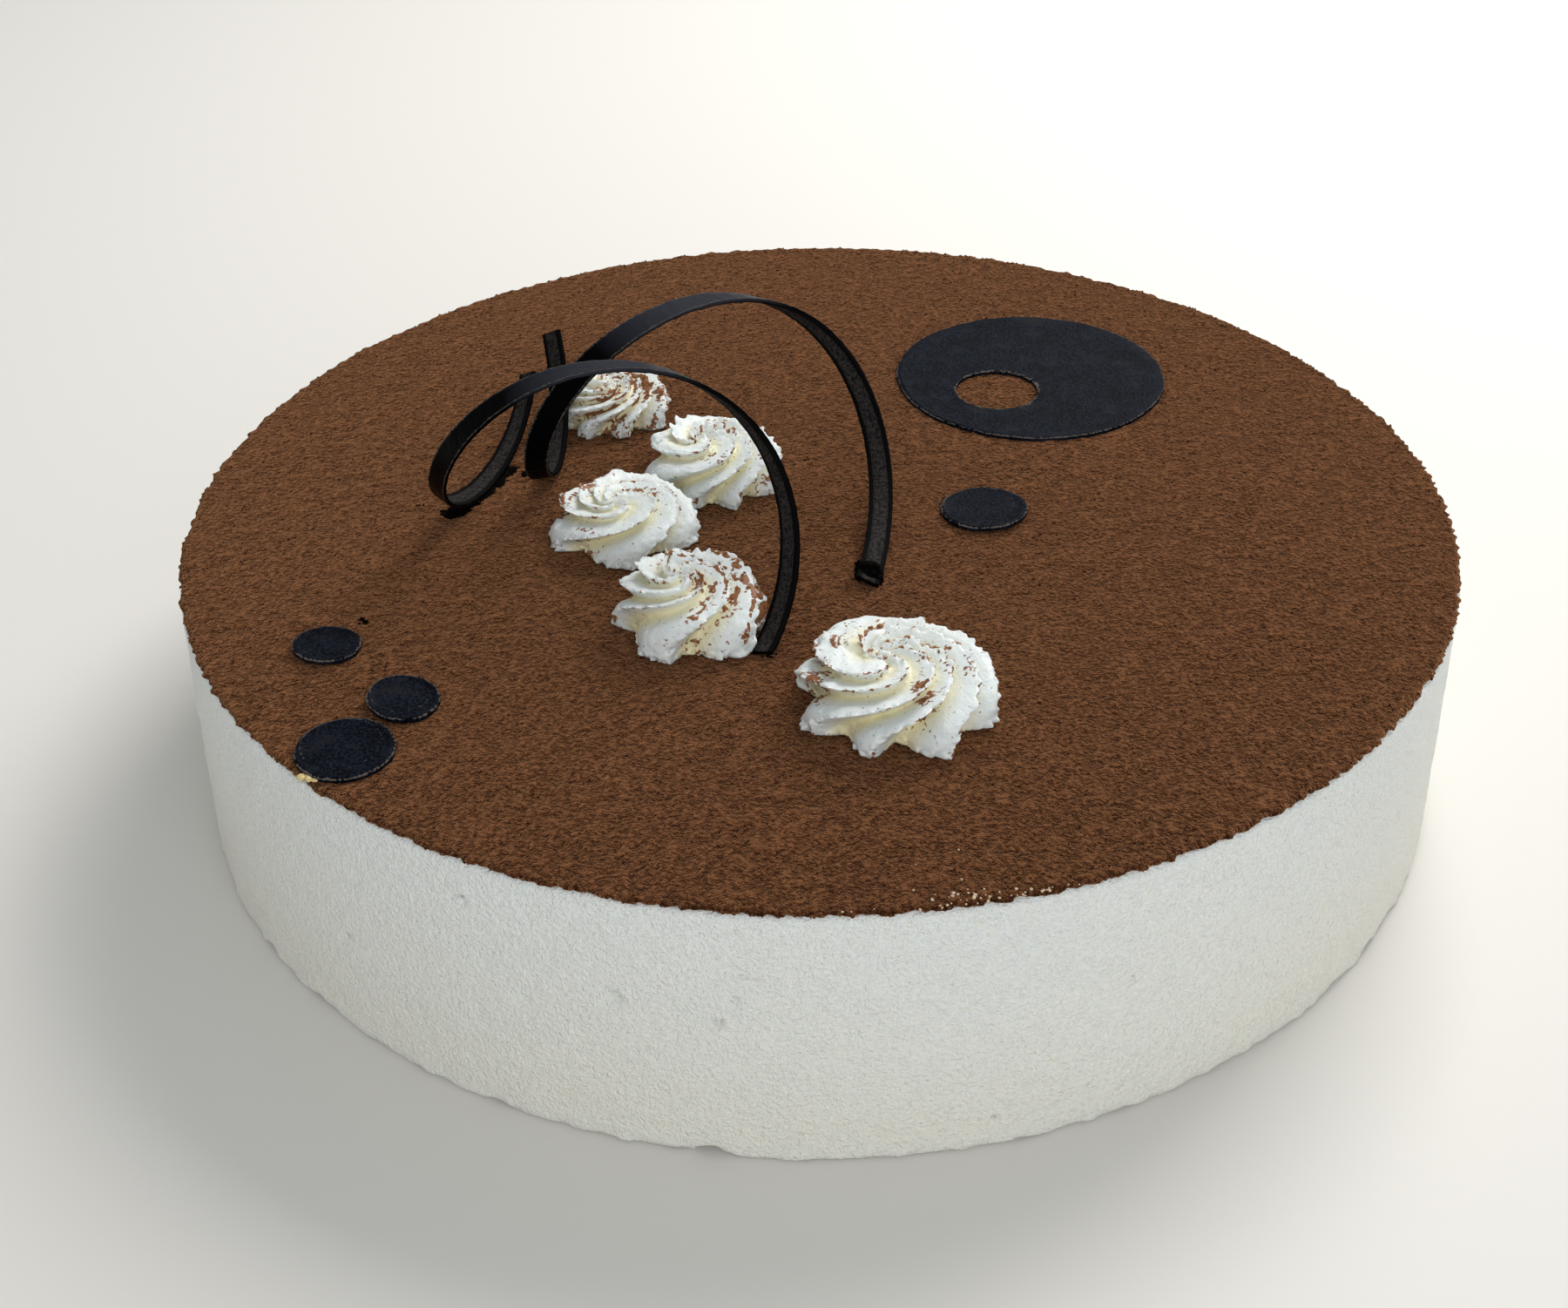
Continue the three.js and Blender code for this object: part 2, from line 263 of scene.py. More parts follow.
def between(tree, value, low, high, first=0.0, second=1.0):
    """A number that goes from the first to the second while the value goes from low to high."""
    node = add_node(tree, "ShaderNodeMapRange", {"clamp": True}, Value=value, From_Min=low, From_Max=high,
                    To_Min=first, To_Max=second)
    return node.outputs["Result"]


def colour_between(tree, value, low, high, first, second):
    first, second = ((*colour, 1) if isinstance(colour, tuple) else colour for colour in (first, second))
    blend = add_node(tree, "ShaderNodeMix", {"data_type": "RGBA"}, _0=between(tree, value, low, high),
                     _6=first, _7=second)
    return blend.outputs[2]


def bumped(tree, height, depth_mm, strength=1.0):
    bump = add_node(tree, "ShaderNodeBump", Height=height, Strength=strength, Distance=depth_mm * MM)
    return bump.outputs["Normal"]


def give_mask(mesh, name, values):
    layer = mesh.attributes.new(name, "FLOAT", "POINT")
    layer.data.foreach_set("value", np.asarray(values, dtype=np.float32))


def mousse_material():
    """Ivory with a painted tint of bounced light, a little yellower towards the foot and cooler at the top,
    with painted shade in its pits and painted shadow under the lip of each bubble.
    """
    material, tree, shader = new_material("ivory_mousse")
    grain, _ = uneven_grain(tree, 1250.0, 2800.0, 0.40)
    height = add_node(tree, "ShaderNodeSeparateXYZ", Vector=own_place(tree)).outputs["Z"]
    # Painted bounced light: the tint goes from warmer at the foot to cooler at the top.
    level = reckon(tree, "MULTIPLY_ADD", noise(tree, 22.0, 2.0), 0.03, height)
    body = colour_between(tree, level, 0.02, 0.062, MOUSSE_LOW, MOUSSE_HIGH)
    # Painted shade in the pits, which follow the same grain as the bump.
    pitted = colour_between(tree, grain, 0.26, 0.44, MOUSSE_PIT_SHADE, body)
    # Painted shadow under the lip of each bubble.
    colour = colour_between(tree, marked(tree, "bubble_shade"), 0.15, 0.8, pitted, MOUSSE_SHADE)
    set_inputs(tree, shader, Base_Color=colour, Roughness=0.62, Specular_IOR_Level=0.35,
               Subsurface_Weight=0.25, Subsurface_Radius=(1.0, 0.75, 0.5), Subsurface_Scale=3 * MM,
               Normal=bumped(tree, grain, 1.5))
    return material


def mousse_points():
    around = np.radians(np.arange(BODY_AROUND) * 360 / BODY_AROUND)
    levels = [(0.0, 0.0)] + [(BODY_BASE_RADIUS - inset, 0.0) for inset in (8, 1.6, 0.3)]
    for row in range(BODY_ROWS + 1):
        share = row / BODY_ROWS
        height = WALL_FROM + share * (BODY_HEIGHT - WALL_FROM)
        radius = BODY_BASE_RADIUS + share * (BODY_TOP_RADIUS - BODY_BASE_RADIUS)
        to_top = BODY_HEIGHT - height
        if to_top < EDGE_ROUNDING:
            radius -= EDGE_ROUNDING - math.sqrt(max(0, EDGE_ROUNDING**2 - (EDGE_ROUNDING - to_top) ** 2))
        levels.append((radius, height))
    levels += [(BODY_TOP_RADIUS - 3, BODY_HEIGHT), (0.0, BODY_HEIGHT)]
    points = []
    rows = []
    for radius, height in levels:
        if radius == 0:
            points.append([[0, 0, height]])
            rows.append(1)
            continue
        upright = np.full(BODY_AROUND, height)
        points.append(np.stack([radius * np.cos(around), radius * np.sin(around), upright], 1))
        rows.append(BODY_AROUND)
    return np.concatenate(points), rows


def turn_from(direction, bearing):
    """How far round, either way, directions are from a bearing in degrees."""
    return (direction - math.radians(bearing) + math.pi) % (2 * math.pi) - math.pi


def worn_wall(points):
    """Gives the wall its hand-made swell, its pitted skin, its bubbles and its ragged foot, and the mask of
    painted shadow under the lip of each bubble.
    """
    radius = np.hypot(points[:, 0], points[:, 1])
    wall = radius > BODY_TOP_RADIUS - 2.5
    direction = np.arctan2(points[:, 1], points[:, 0])
    swell = 0.26 * soft_noise(points, 34, 1) + 0.08 * soft_noise(points, 11, 2)
    skin = 0.10 * soft_noise(points * [1, 1, 1.7], 5.5, 3) + 0.10 * soft_noise(points, 1.4, 4)
    pits = np.minimum(0, soft_noise(points, 2.1, 5) + PIT_SHARE) * 0.45
    push = swell + skin + pits
    bubble_shade = np.zeros(len(points))
    for bearing, height, size, depth, stretch in BUBBLES:
        turn = turn_from(direction, bearing)
        away = np.hypot(turn * BODY_TOP_RADIUS / stretch, points[:, 2] - height) / size
        dip = np.clip(1 - away**2, 0, 1)
        push -= BUBBLE_DEEPER * depth * dip - BUBBLE_LIP * depth * np.exp(-((away - 1.15) / 0.25) ** 2)
        # Painted shadow under the upper lip of each bubble, faint for the long creases.
        shaded = np.clip((points[:, 2] - height) / size + 0.5, 0, 1) / stretch**2
        bubble_shade = np.maximum(bubble_shade, dip * shaded)
    foot = np.clip(1 - points[:, 2] / RAGGED_UP_TO, 0, 1)
    push += foot * (0.45 * soft_noise(points * [1, 1, 0], 2.6, 6) - 0.25)
    grown = 1 + np.where(wall, push, 0) / np.maximum(radius, 1)
    moved = points * np.stack([grown, grown, np.ones(len(points))], 1)
    raised = np.clip(soft_noise(points * [1, 1, 0], 4.3, 7) - 0.35, 0, 1) * 1.1
    across = turn_from(direction, FOOT_NOTCH["direction"]) * BODY_BASE_RADIUS / FOOT_NOTCH["half_width"]
    raised = np.maximum(raised, FOOT_NOTCH["height"] * np.sqrt(np.clip(1 - across**2, 0, 1)))
    outermost = (radius > BODY_BASE_RADIUS - 2) & (points[:, 2] < LIFTED_UP_TO)
    moved[:, 2] += np.where(outermost, raised * (1 - points[:, 2] / LIFTED_UP_TO), 0)
    return moved, np.where(wall, bubble_shade, 0)


body_points, body_rows = mousse_points()
body_faces = [face[::-1] for face in ring_faces(body_rows, BODY_AROUND)]
worn_points, wall_bubble_shade = worn_wall(body_points)
mousse_piece = piece_from("mousse_wall", worn_points, body_faces, mousse_material(), "mousse_body")
give_mask(mousse_piece.data, "bubble_shade", wall_bubble_shade)


# The cocoa: a velvety skin of dry powder, sifted over the frozen mousse. It lies in soft naps and pimples,
# breaks off raggedly at the rim, and carries loose grains all over.
COCOA_TOP = 50.6
COCOA_LOW = 49.4
COCOA_ACROSS = 312
COCOA_RADIUS = 120.0
COCOA_EDGE = 1.2
# The darkest and lightest cocoa colours are painted shade between the grains and painted light on their tops.
COCOA_PIT_SHADE = (0.022, 0.0068, 0.0031)
COCOA_MIDDLE = (0.062, 0.0208, 0.0084)
COCOA_LIT_TOP = (0.185, 0.074, 0.0310)
COCOA_SHEEN = (0.74, 0.37, 0.175, 1)
GRAINS_TO_A_SQUARE_MM = 10500 / (math.pi * COCOA_RADIUS**2) / 1.35
GRAIN_SIZES = (0.35, 0.8)
THICKER_FROM = 116.5
THICKER_AT_RIM = 1.8


def cocoa_material():
    """Brown powder with painted shade between the grains and painted light on them, and a soft sheen against
    the light.
    """
    material, tree, shader = new_material("cocoa_powder")
    grain, _ = uneven_grain(tree, 1250.0, 3200.0, 0.36)
    level = reckon(tree, "MULTIPLY_ADD", marked(tree, "raised"), 0.05, grain)
    lighter = tuple(part * 1.09 for part in COCOA_MIDDLE)
    ground = colour_between(tree, noise(tree, 30.0, 3.0), 0.3, 0.7, COCOA_MIDDLE, lighter)
    # Painted shade in the low grain and painted light on the raised grain, in step with the bump.
    dark = colour_between(tree, level, 0.37, 0.50, COCOA_PIT_SHADE, ground)
    colour = colour_between(tree, level, 0.49, 0.63, dark, COCOA_LIT_TOP)
    set_inputs(tree, shader, Base_Color=colour, Roughness=0.95, Specular_IOR_Level=0.03, Sheen_Weight=0.86,
               Sheen_Roughness=0.25, Sheen_Tint=COCOA_SHEEN, Normal=bumped(tree, level, 1.8))
    return material


def disc_from_square(steps):
    """An even grid of points that fills a disc of radius 1, with its rim points in order."""
    line = np.linspace(-1, 1, steps)
    a, b = np.meshgrid(line, line)
    wide = np.abs(a) > np.abs(b)
    safe_a = np.where(a == 0, 1, a)
    safe_b = np.where(b == 0, 1, b)
    radius = np.where(wide, a, b)
    angle = np.where(wide, math.pi / 4 * b / safe_a, math.pi / 2 - math.pi / 4 * a / safe_b)
    x = np.where((a == 0) & (b == 0), 0, radius * np.cos(angle))
    y = np.where((a == 0) & (b == 0), 0, radius * np.sin(angle))
    number = np.arange(steps * steps).reshape(steps, steps)
    rim = np.concatenate([number[0, :-1], number[:-1, -1], number[-1, :0:-1], number[:0:-1, 0]])
    faces = np.stack([number[:-1, :-1], number[:-1, 1:], number[1:, 1:], number[1:, :-1]], -1).reshape(-1, 4)
    return np.stack([x.ravel(), y.ravel()], 1), faces.tolist(), rim


def cocoa_piece(material):
    """A thin slab with a pebbled top that breaks off raggedly at the rim."""
    flat, faces, rim = disc_from_square(COCOA_ACROSS)
    top = np.concatenate([flat * COCOA_RADIUS, np.full((len(flat), 1), COCOA_TOP)], 1)
    radius = np.hypot(top[:, 0], top[:, 1])
    edge = np.clip((radius - (COCOA_RADIUS - COCOA_EDGE)) / COCOA_EDGE, 0, 1)
    pebbles = soft_noise(top, 1.2, 23)
    relief = 0.12 * soft_noise(top, 22, 21) + 0.05 * soft_noise(top, 3.3, 22) + 0.25 * pebbles
    top[:, 2] += relief - 0.35 * edge**2
    ragged = 1 + edge * (0.6 * soft_noise(top, 0.9, 24) + 0.25 * soft_noise(top, 2.4, 25)) / COCOA_RADIUS
    top[:, :2] *= ragged[:, None]
    low = top[rim].copy()
    low[:, :2] *= (COCOA_RADIUS - 0.9) / COCOA_RADIUS
    low[:, 2] = COCOA_LOW
    count = len(top)
    around = len(rim)
    wall, under = [], []
    for i in range(around):
        j = (i + 1) % around
        wall.append((int(rim[i]), count + i, count + j, int(rim[j])))
        under.append((count + around, count + j, count + i))
    points = np.concatenate([top, low, [[0, 0, COCOA_LOW]]])
    piece = piece_from("cocoa_skin", points, faces + wall + under, material, "cocoa_layer")
    give_mask(piece.data, "raised", np.concatenate([pebbles, np.zeros(around + 1)]))
    return piece


def shape_tree(name, **inputs):
    """An empty geometry node tree with a shape going in and out, and its named inputs, each with its kind."""
    tree = bpy.data.node_groups.new(name, "GeometryNodeTree")
    tree.interface.new_socket("Geometry", in_out="INPUT", socket_type="NodeSocketGeometry")
    for label, kind in inputs.items():
        tree.interface.new_socket(label, in_out="INPUT", socket_type="NodeSocket" + kind)
    tree.interface.new_socket("Geometry", in_out="OUTPUT", socket_type="NodeSocketGeometry")
    return tree, tree.nodes.new("NodeGroupInput").outputs


def end_tree(tree, shape, material):
    whole = add_node(tree, "GeometryNodeRealizeInstances", Geometry=shape)
    dressed = add_node(tree, "GeometryNodeSetMaterial", Geometry=whole.outputs[0], Material=material)
    set_inputs(tree, tree.nodes.new("NodeGroupOutput"), Geometry=dressed.outputs[0])
    return tree


def crumb_tree():
    """Geometry nodes that strew small faceted crumbs over the faces where a named mask is above zero."""
    tree, given = shape_tree("strewn_crumbs", Density="Float", Smallest="Float", Largest="Float",
                             Flatness="Float", Sunk="Float", Seed="Int", Mask="String", Material="Material")
    mask = add_node(tree, "GeometryNodeInputNamedAttribute", {"data_type": "FLOAT"}, Name=given["Mask"])
    density = reckon(tree, "MULTIPLY", given["Density"], mask.outputs[0])
    strewn = add_node(tree, "GeometryNodeDistributePointsOnFaces", {"distribute_method": "RANDOM"},
                      Mesh=given["Geometry"], Density=density, Seed=given["Seed"])
    crumb = add_node(tree, "GeometryNodeMeshUVSphere", Segments=5, Rings=3, Radius=0.5)
    size = add_node(tree, "FunctionNodeRandomValue", {"data_type": "FLOAT"}, _2=given["Smallest"],
                    _3=given["Largest"], Seed=given["Seed"]).outputs[1]
    spin = add_node(tree, "FunctionNodeRandomValue", {"data_type": "FLOAT"}, _2=0.0, _3=6.283,
                    Seed=given["Seed"])
    upright = add_node(tree, "FunctionNodeAxisAngleToRotation", Axis=(0.0, 0.0, 1.0), Angle=spin.outputs[1])
    turned = add_node(tree, "FunctionNodeRotateRotation", {"rotation_space": "LOCAL"},
                      Rotation=strewn.outputs["Rotation"], _1=upright.outputs[0])
    scale = add_node(tree, "ShaderNodeCombineXYZ", X=size, Y=reckon(tree, "MULTIPLY", size, 0.75),
                     Z=reckon(tree, "MULTIPLY", size, given["Flatness"]))
    placed = add_node(tree, "GeometryNodeInstanceOnPoints", Points=strewn.outputs["Points"],
                      Instance=crumb.outputs["Mesh"], Rotation=turned.outputs[0], Scale=scale.outputs[0])
    sink = add_node(tree, "ShaderNodeCombineXYZ", Z=given["Sunk"])
    lowered = add_node(tree, "GeometryNodeTranslateInstances", Instances=placed.outputs[0],
                       Translation=sink.outputs[0])
    return end_tree(tree, lowered.outputs[0], given["Material"])


STREWN_CRUMBS = crumb_tree()


def made_by(tree, ground, name, slot, replaced=None, **values):
    """A plain mesh piece that a tree makes from a ground mesh, with the values of the tree's named inputs."""
    carrier = new_object(name, ground)
    modifier = carrier.modifiers.new("made", "NODES")
    modifier.node_group = tree
    for item in tree.interface.items_tree:
        if item.in_out == "INPUT" and item.name in values:
            modifier[item.identifier] = values[item.name]
    bpy.context.view_layer.update()
    depsgraph = bpy.context.evaluated_depsgraph_get()
    mesh = bpy.data.meshes.new_from_object(carrier.evaluated_get(depsgraph))
    bpy.data.objects.remove(carrier)
    mesh.name = name
    mesh.shade_smooth()
    finish_piece(new_object(name, mesh), replaced)


def strew(name, ground, mask, density, sizes, flatness, sunk, seed, material, slot):
    """Crumbs strewn over a ground mesh. Density is crumbs to a square millimetre."""
    made_by(STREWN_CRUMBS, ground, name, slot, Density=density / MM**2, Smallest=sizes[0] * MM,
            Largest=sizes[1] * MM, Flatness=flatness, Sunk=sunk * MM, Seed=seed, Mask=mask, Material=material)


cocoa_powder = cocoa_material()
cocoa_skin = cocoa_piece(cocoa_powder)
cocoa_places = np.empty(len(cocoa_skin.data.vertices) * 3)
cocoa_skin.data.vertices.foreach_get("co", cocoa_places)
cocoa_places = cocoa_places.reshape(-1, 3) / MM
on_top = (cocoa_places[:, 2] > COCOA_TOP - 0.9).astype(float)
near_rim = np.clip((np.hypot(cocoa_places[:, 0], cocoa_places[:, 1]) - THICKER_FROM) / 3.0, 0, 1)
give_mask(cocoa_skin.data, "strewn", on_top * (1 + THICKER_AT_RIM * near_rim))
strew("cocoa_grains", cocoa_skin.data, "strewn", GRAINS_TO_A_SQUARE_MM, GRAIN_SIZES, 0.7, 0.0, 3,
      cocoa_powder, "cocoa")


# The strays: where the cocoa meets the front of the rim the knife dragged up specks of mousse, in one place
# as a small crescent, and a yellow chip of cream sits by the lowest of the flat discs.
RIM_SPECKS = {"direction": -79.5, "spread": 5.0, "count": 38}
CRESCENT = {"place": (19.0, -117.4), "radius": 2.2, "from": 0, "to": 170, "specks": 12}
LONE_SPECKS = [(12.5, -109.3, 0.4), (19.1, -112.9, 0.7), (14.4, -117.3, 0.7), (22.2, -115.1, 0.6),
               (11.8, -115.1, 0.5), (19.2, -106.0, 0.5), (29.2, -115.3, 0.7), (27.0, -115.2, 0.6)]
CREAM_CHIP = [(-84.1, -85.2, 1.9), (-82.9, -85.5, 2.4), (-81.7, -86.1, 1.7)]
SPECK_ROWS = 5
SPECK_AROUND = 8


def specks_piece(name, specks, material, flatness, seed):
    """One mesh of small uneven lumps, each given by its place, how high it lies and how wide it is."""
    draw = np.random.default_rng(seed)
    turn = np.arange(SPECK_AROUND) * 2 * math.pi / SPECK_AROUND
    points, faces = [], []
    for x, y, z, width in specks:
        start = len(points)
        stretch = draw.uniform(0.6, 1.0)
        lean = draw.uniform(0, math.pi)
        for row in range(SPECK_ROWS + 1):
            rise = math.pi * row / SPECK_ROWS
            for angle in turn if 0 < row < SPECK_ROWS else [0]:
                size = width / 2 * draw.uniform(0.75, 1.15)
                along = size * math.sin(rise) * math.cos(angle)
                aside = size * math.sin(rise) * math.sin(angle) * stretch
                points.append((x + along * math.cos(lean) - aside * math.sin(lean),
                               y + along * math.sin(lean) + aside * math.cos(lean),
                               z - size * math.cos(rise) * flatness))
        rows = [1] + [SPECK_AROUND] * (SPECK_ROWS - 1) + [1]
        faces += [tuple(start + corner for corner in face) for face in ring_faces(rows, SPECK_AROUND)]
    return piece_from(name, points, faces, material)


def rim_specks():
    draw = np.random.default_rng(91)
    specks = []
    for _ in range(RIM_SPECKS["count"]):
        direction = math.radians(draw.normal(RIM_SPECKS["direction"], RIM_SPECKS["spread"]))
        radius = COCOA_RADIUS + 0.1 - draw.exponential(0.6)
        width = draw.uniform(0.25, 0.65)
        specks.append((radius * math.cos(direction), radius * math.sin(direction), COCOA_TOP + 0.05, width))
    sweep = CRESCENT["to"] - CRESCENT["from"]
    for step in range(CRESCENT["specks"]):
        angle = math.radians(CRESCENT["from"] + sweep * step / CRESCENT["specks"])
        x = CRESCENT["place"][0] + CRESCENT["radius"] * math.cos(angle) + draw.normal(0, 0.3)
        y = CRESCENT["place"][1] + 0.7 * CRESCENT["radius"] * math.sin(angle) + draw.normal(0, 0.3)
        specks.append((x, y, COCOA_TOP + 0.15, draw.uniform(0.3, 0.8)))
    specks += [(x, y, COCOA_TOP + 0.15, width) for x, y, width in LONE_SPECKS]
    return specks


def grained_material(name, coarse, fine, low, high, roughness, shine=0.5):
    """A plain crumbly stuff whose grain goes from one colour to another."""
    material, tree, shader = new_material(name)
    grain, _ = uneven_grain(tree, coarse, fine, 0.5)
    colour = colour_between(tree, grain, 0.35, 0.65, low, high)
    set_inputs(tree, shader, Base_Color=colour, Roughness=roughness, Specular_IOR_Level=shine)
    return material


stray_mousse = grained_material("stray_mousse", 700.0, 2400.0, (0.34, 0.19, 0.10), (0.68, 0.56, 0.40), 0.7)
specks_piece("mousse_specks", rim_specks(), stray_mousse, 0.6, 92)
yellow_cream = grained_material("yellow_cream", 500.0, 2000.0, (0.50, 0.36, 0.13), (0.72, 0.60, 0.30), 0.6)
chip_lumps = [(x, y, COCOA_TOP + 0.2, width) for x, y, width in CREAM_CHIP]
specks_piece("cream_chip", chip_lumps, yellow_cream, 0.4, 93)


# The flat decorations: five discs cut from a sheet of dark chocolate. They are thin, blue-black, dusty with
# a dull bloom, a little paler along the cut edge, and lie loose on the cocoa.
DISC_THICKNESS = 0.8
DISC_EDGE = 0.16
DISC_AROUND = 288
DISCS = {
    "disc_holed": {"place": (46.4, 49.9), "radius": 28.2, "slope": (0, 0), "hole": ((-7.7, -6.8), 8.5)},
    "disc_middle": {"place": (31.7, -6.0), "radius": 8.3, "slope": (0.03, -0.04)},
    "disc_left_a": {"place": (-86.2, -48.9), "radius": 5.9, "slope": (-0.06, -0.05)},
    "disc_left_b": {"place": (-70.6, -65.5), "radius": 6.1, "slope": (-0.10, 0.04)},
    "disc_left_c": {"place": (-78.2, -78.9), "radius": 8.2, "slope": (0, 0.02)},
}
DISC_REST = 50.6
DISC_BLACK = (0.0010, 0.0015, 0.0032)
DISC_BLUE = (0.0090, 0.0122, 0.0210)
DISC_DUST = (0.0130, 0.0120, 0.0130)
DISC_PALE = (0.095, 0.080, 0.070)
MARK_ASIDE = (0.10, -0.16, 0.0)
MARK_RADIUS = 0.80
# How far in from the rim the rings of the flat faces lie, as shares of the way to the middle or the hole, and
# how high the cutter has pushed up the top there.
RINGS_INWARD = [0.01, 0.03, 0.06, 0.10, 0.15, 0.25, 0.4, 0.6, 0.8, 0.92]
PUSHED_UP = [0.02, 0.10, 0.16, 0.10, 0.0, -0.06, -0.08, -0.08, -0.08, -0.08]


def disc_material():
    """Blue-black with a dull dust, paler along the upper rounding of the cut edge, and worn pale along a
    faint round mark.
    """
    material, tree, shader = new_material("dark_chocolate")
    grain, patches = uneven_grain(tree, 260.0, 1900.0, 0.72)
    from_middle = marked(tree, "from_middle", "Vector")
    aside = add_node(tree, "ShaderNodeVectorMath", {"operation": "ADD"}, _0=from_middle, _1=MARK_ASIDE)
    away = add_node(tree, "ShaderNodeVectorMath", {"operation": "LENGTH"}, _0=aside.outputs[0])
    off_mark = reckon(tree, "ABSOLUTE", reckon(tree, "SUBTRACT", away.outputs["Value"], MARK_RADIUS))
    round_mark = between(tree, off_mark, 0.022, 0.004, 0.0, 0.42)
    worn = reckon(tree, "MULTIPLY_ADD", marked(tree, "cut_edge"), 0.50, round_mark)
    pale = reckon(tree, "MULTIPLY_ADD", grain, 1.0, worn)
    face = colour_between(tree, grain, 0.42, 0.62, DISC_BLACK, DISC_BLUE)
    dusty = colour_between(tree, patches, 0.58, 0.80, face, DISC_DUST)
    colour = colour_between(tree, pale, 0.93, 1.03, dusty, DISC_PALE)
    rough = between(tree, grain, 0.0, 1.0, 0.40, 0.60)
    set_inputs(tree, shader, Base_Color=colour, Roughness=rough, Specular_IOR_Level=0.022,
               Normal=bumped(tree, grain, 0.35))
    return material


def give_direction(mesh, name, values):
    layer = mesh.attributes.new(name, "FLOAT_VECTOR", "POINT")
    layer.data.foreach_set("vector", values.ravel().astype(np.float32))


def section_of_disc(thickness, edge):
    """Half the section of a plate with rounded edges: how far inside the rim, how high, how near the edge."""
    angles = [math.pi / 2 * step / 6 for step in range(7)]
    bends = [(edge * (1 - math.sin(angle)), edge * (1 - math.cos(angle))) for angle in angles]
    below = [(inset, height, 0.0) for inset, height in bends]
    above = [(height, thickness - inset, 1.0) for inset, height in bends]
    return below + [(0.0, thickness - 1.6 * edge, 0.15)] + above


def disc_piece(name, place, radius, slope, material, seed, hole=None):
    """A nicked plate, plain or with a round hole, made of rings from its rim inwards."""
    around = np.radians(np.arange(DISC_AROUND) * 360 / DISC_AROUND)
    circle = np.stack([np.cos(around), np.sin(around)], 1)
    at_rim = np.append(circle * radius, np.zeros((DISC_AROUND, 1)), 1)
    nicks = 0.10 * soft_noise(at_rim, 1.3, seed)
    nicks += 0.12 * soft_noise(at_rim, 4.0, seed + 1)
    rim = circle * (radius + nicks)[:, None]
    middle = np.zeros((DISC_AROUND, 2))
    if hole:
        (hole_x, hole_y), hole_radius = hole
        middle = circle * (hole_radius + 0.7 * nicks)[:, None] + [hole_x, hole_y]
    section = section_of_disc(DISC_THICKNESS, DISC_EDGE)
    rings = [(rim - circle * inset, height, edge) for inset, height, edge in section]
    outermost = rim - circle * DISC_EDGE
    innermost = middle + circle * DISC_EDGE * bool(hole)
    flat_rings = [outermost * (1 - share) + innermost * share for share in RINGS_INWARD]
    rings += [(ring, DISC_THICKNESS + rise, max(0.0, 1 - share * radius / 0.55))
              for ring, share, rise in zip(flat_rings, RINGS_INWARD, PUSHED_UP)]
    under = [(ring, 0.0, 0.0) for ring in flat_rings[::-1]]
    if hole:
        rings += [(middle + circle * inset, height, edge) for inset, height, edge in section[::-1]]
        rings += under
        rows = [DISC_AROUND] * len(rings)
    else:
        rings = under + rings
        rows = [1] + [DISC_AROUND] * len(rings) + [1]
    flat = np.concatenate([np.append(ring, np.full((DISC_AROUND, 1), height), 1)
                           for ring, height, _ in rings])
    near_edge = np.concatenate([np.full(DISC_AROUND, edge) for _, _, edge in rings])
    if not hole:
        flat = np.concatenate([[[0, 0, 0]], flat, [[0, 0, DISC_THICKNESS]]])
        near_edge = np.concatenate([[0], near_edge, [0]])
    faces = ring_faces(rows, DISC_AROUND)
    if hole:
        last = (len(rings) - 1) * DISC_AROUND
        for i in range(DISC_AROUND):
            j = (i + 1) % DISC_AROUND
            faces.append((last + i, last + j, j, i))
    from_middle = np.append(flat[:, :2] / radius * (not hole), np.zeros((len(flat), 1)), 1)
    flat[:, 2] += 0.05 * soft_noise(flat * [1, 1, 0], 7.0, seed + 2) * (flat[:, 2] > DISC_THICKNESS / 2)
    lift = radius * math.hypot(*slope)
    flat[:, 2] += flat[:, 0] * slope[0] + flat[:, 1] * slope[1] + DISC_REST + lift
    flat[:, 0] += place[0]
    flat[:, 1] += place[1]
    piece = piece_from(name + "_chocolate", flat, faces, material, name)
    give_mask(piece.data, "cut_edge", near_edge)
    give_direction(piece.data, "from_middle", from_middle)


dark_chocolate = disc_material()
for number, (name, disc) in enumerate(DISCS.items()):
    disc_piece(name, **disc, material=dark_chocolate, seed=40 + 5 * number)


# The rosettes: five stars of whipped cream, each piped in one turning stroke. The star nozzle drew sharp
# ridges that wind up to a pole off the middle; the cream's skin has torn a little along each ridge, and
# cocoa has caught on it in streaks and dots.

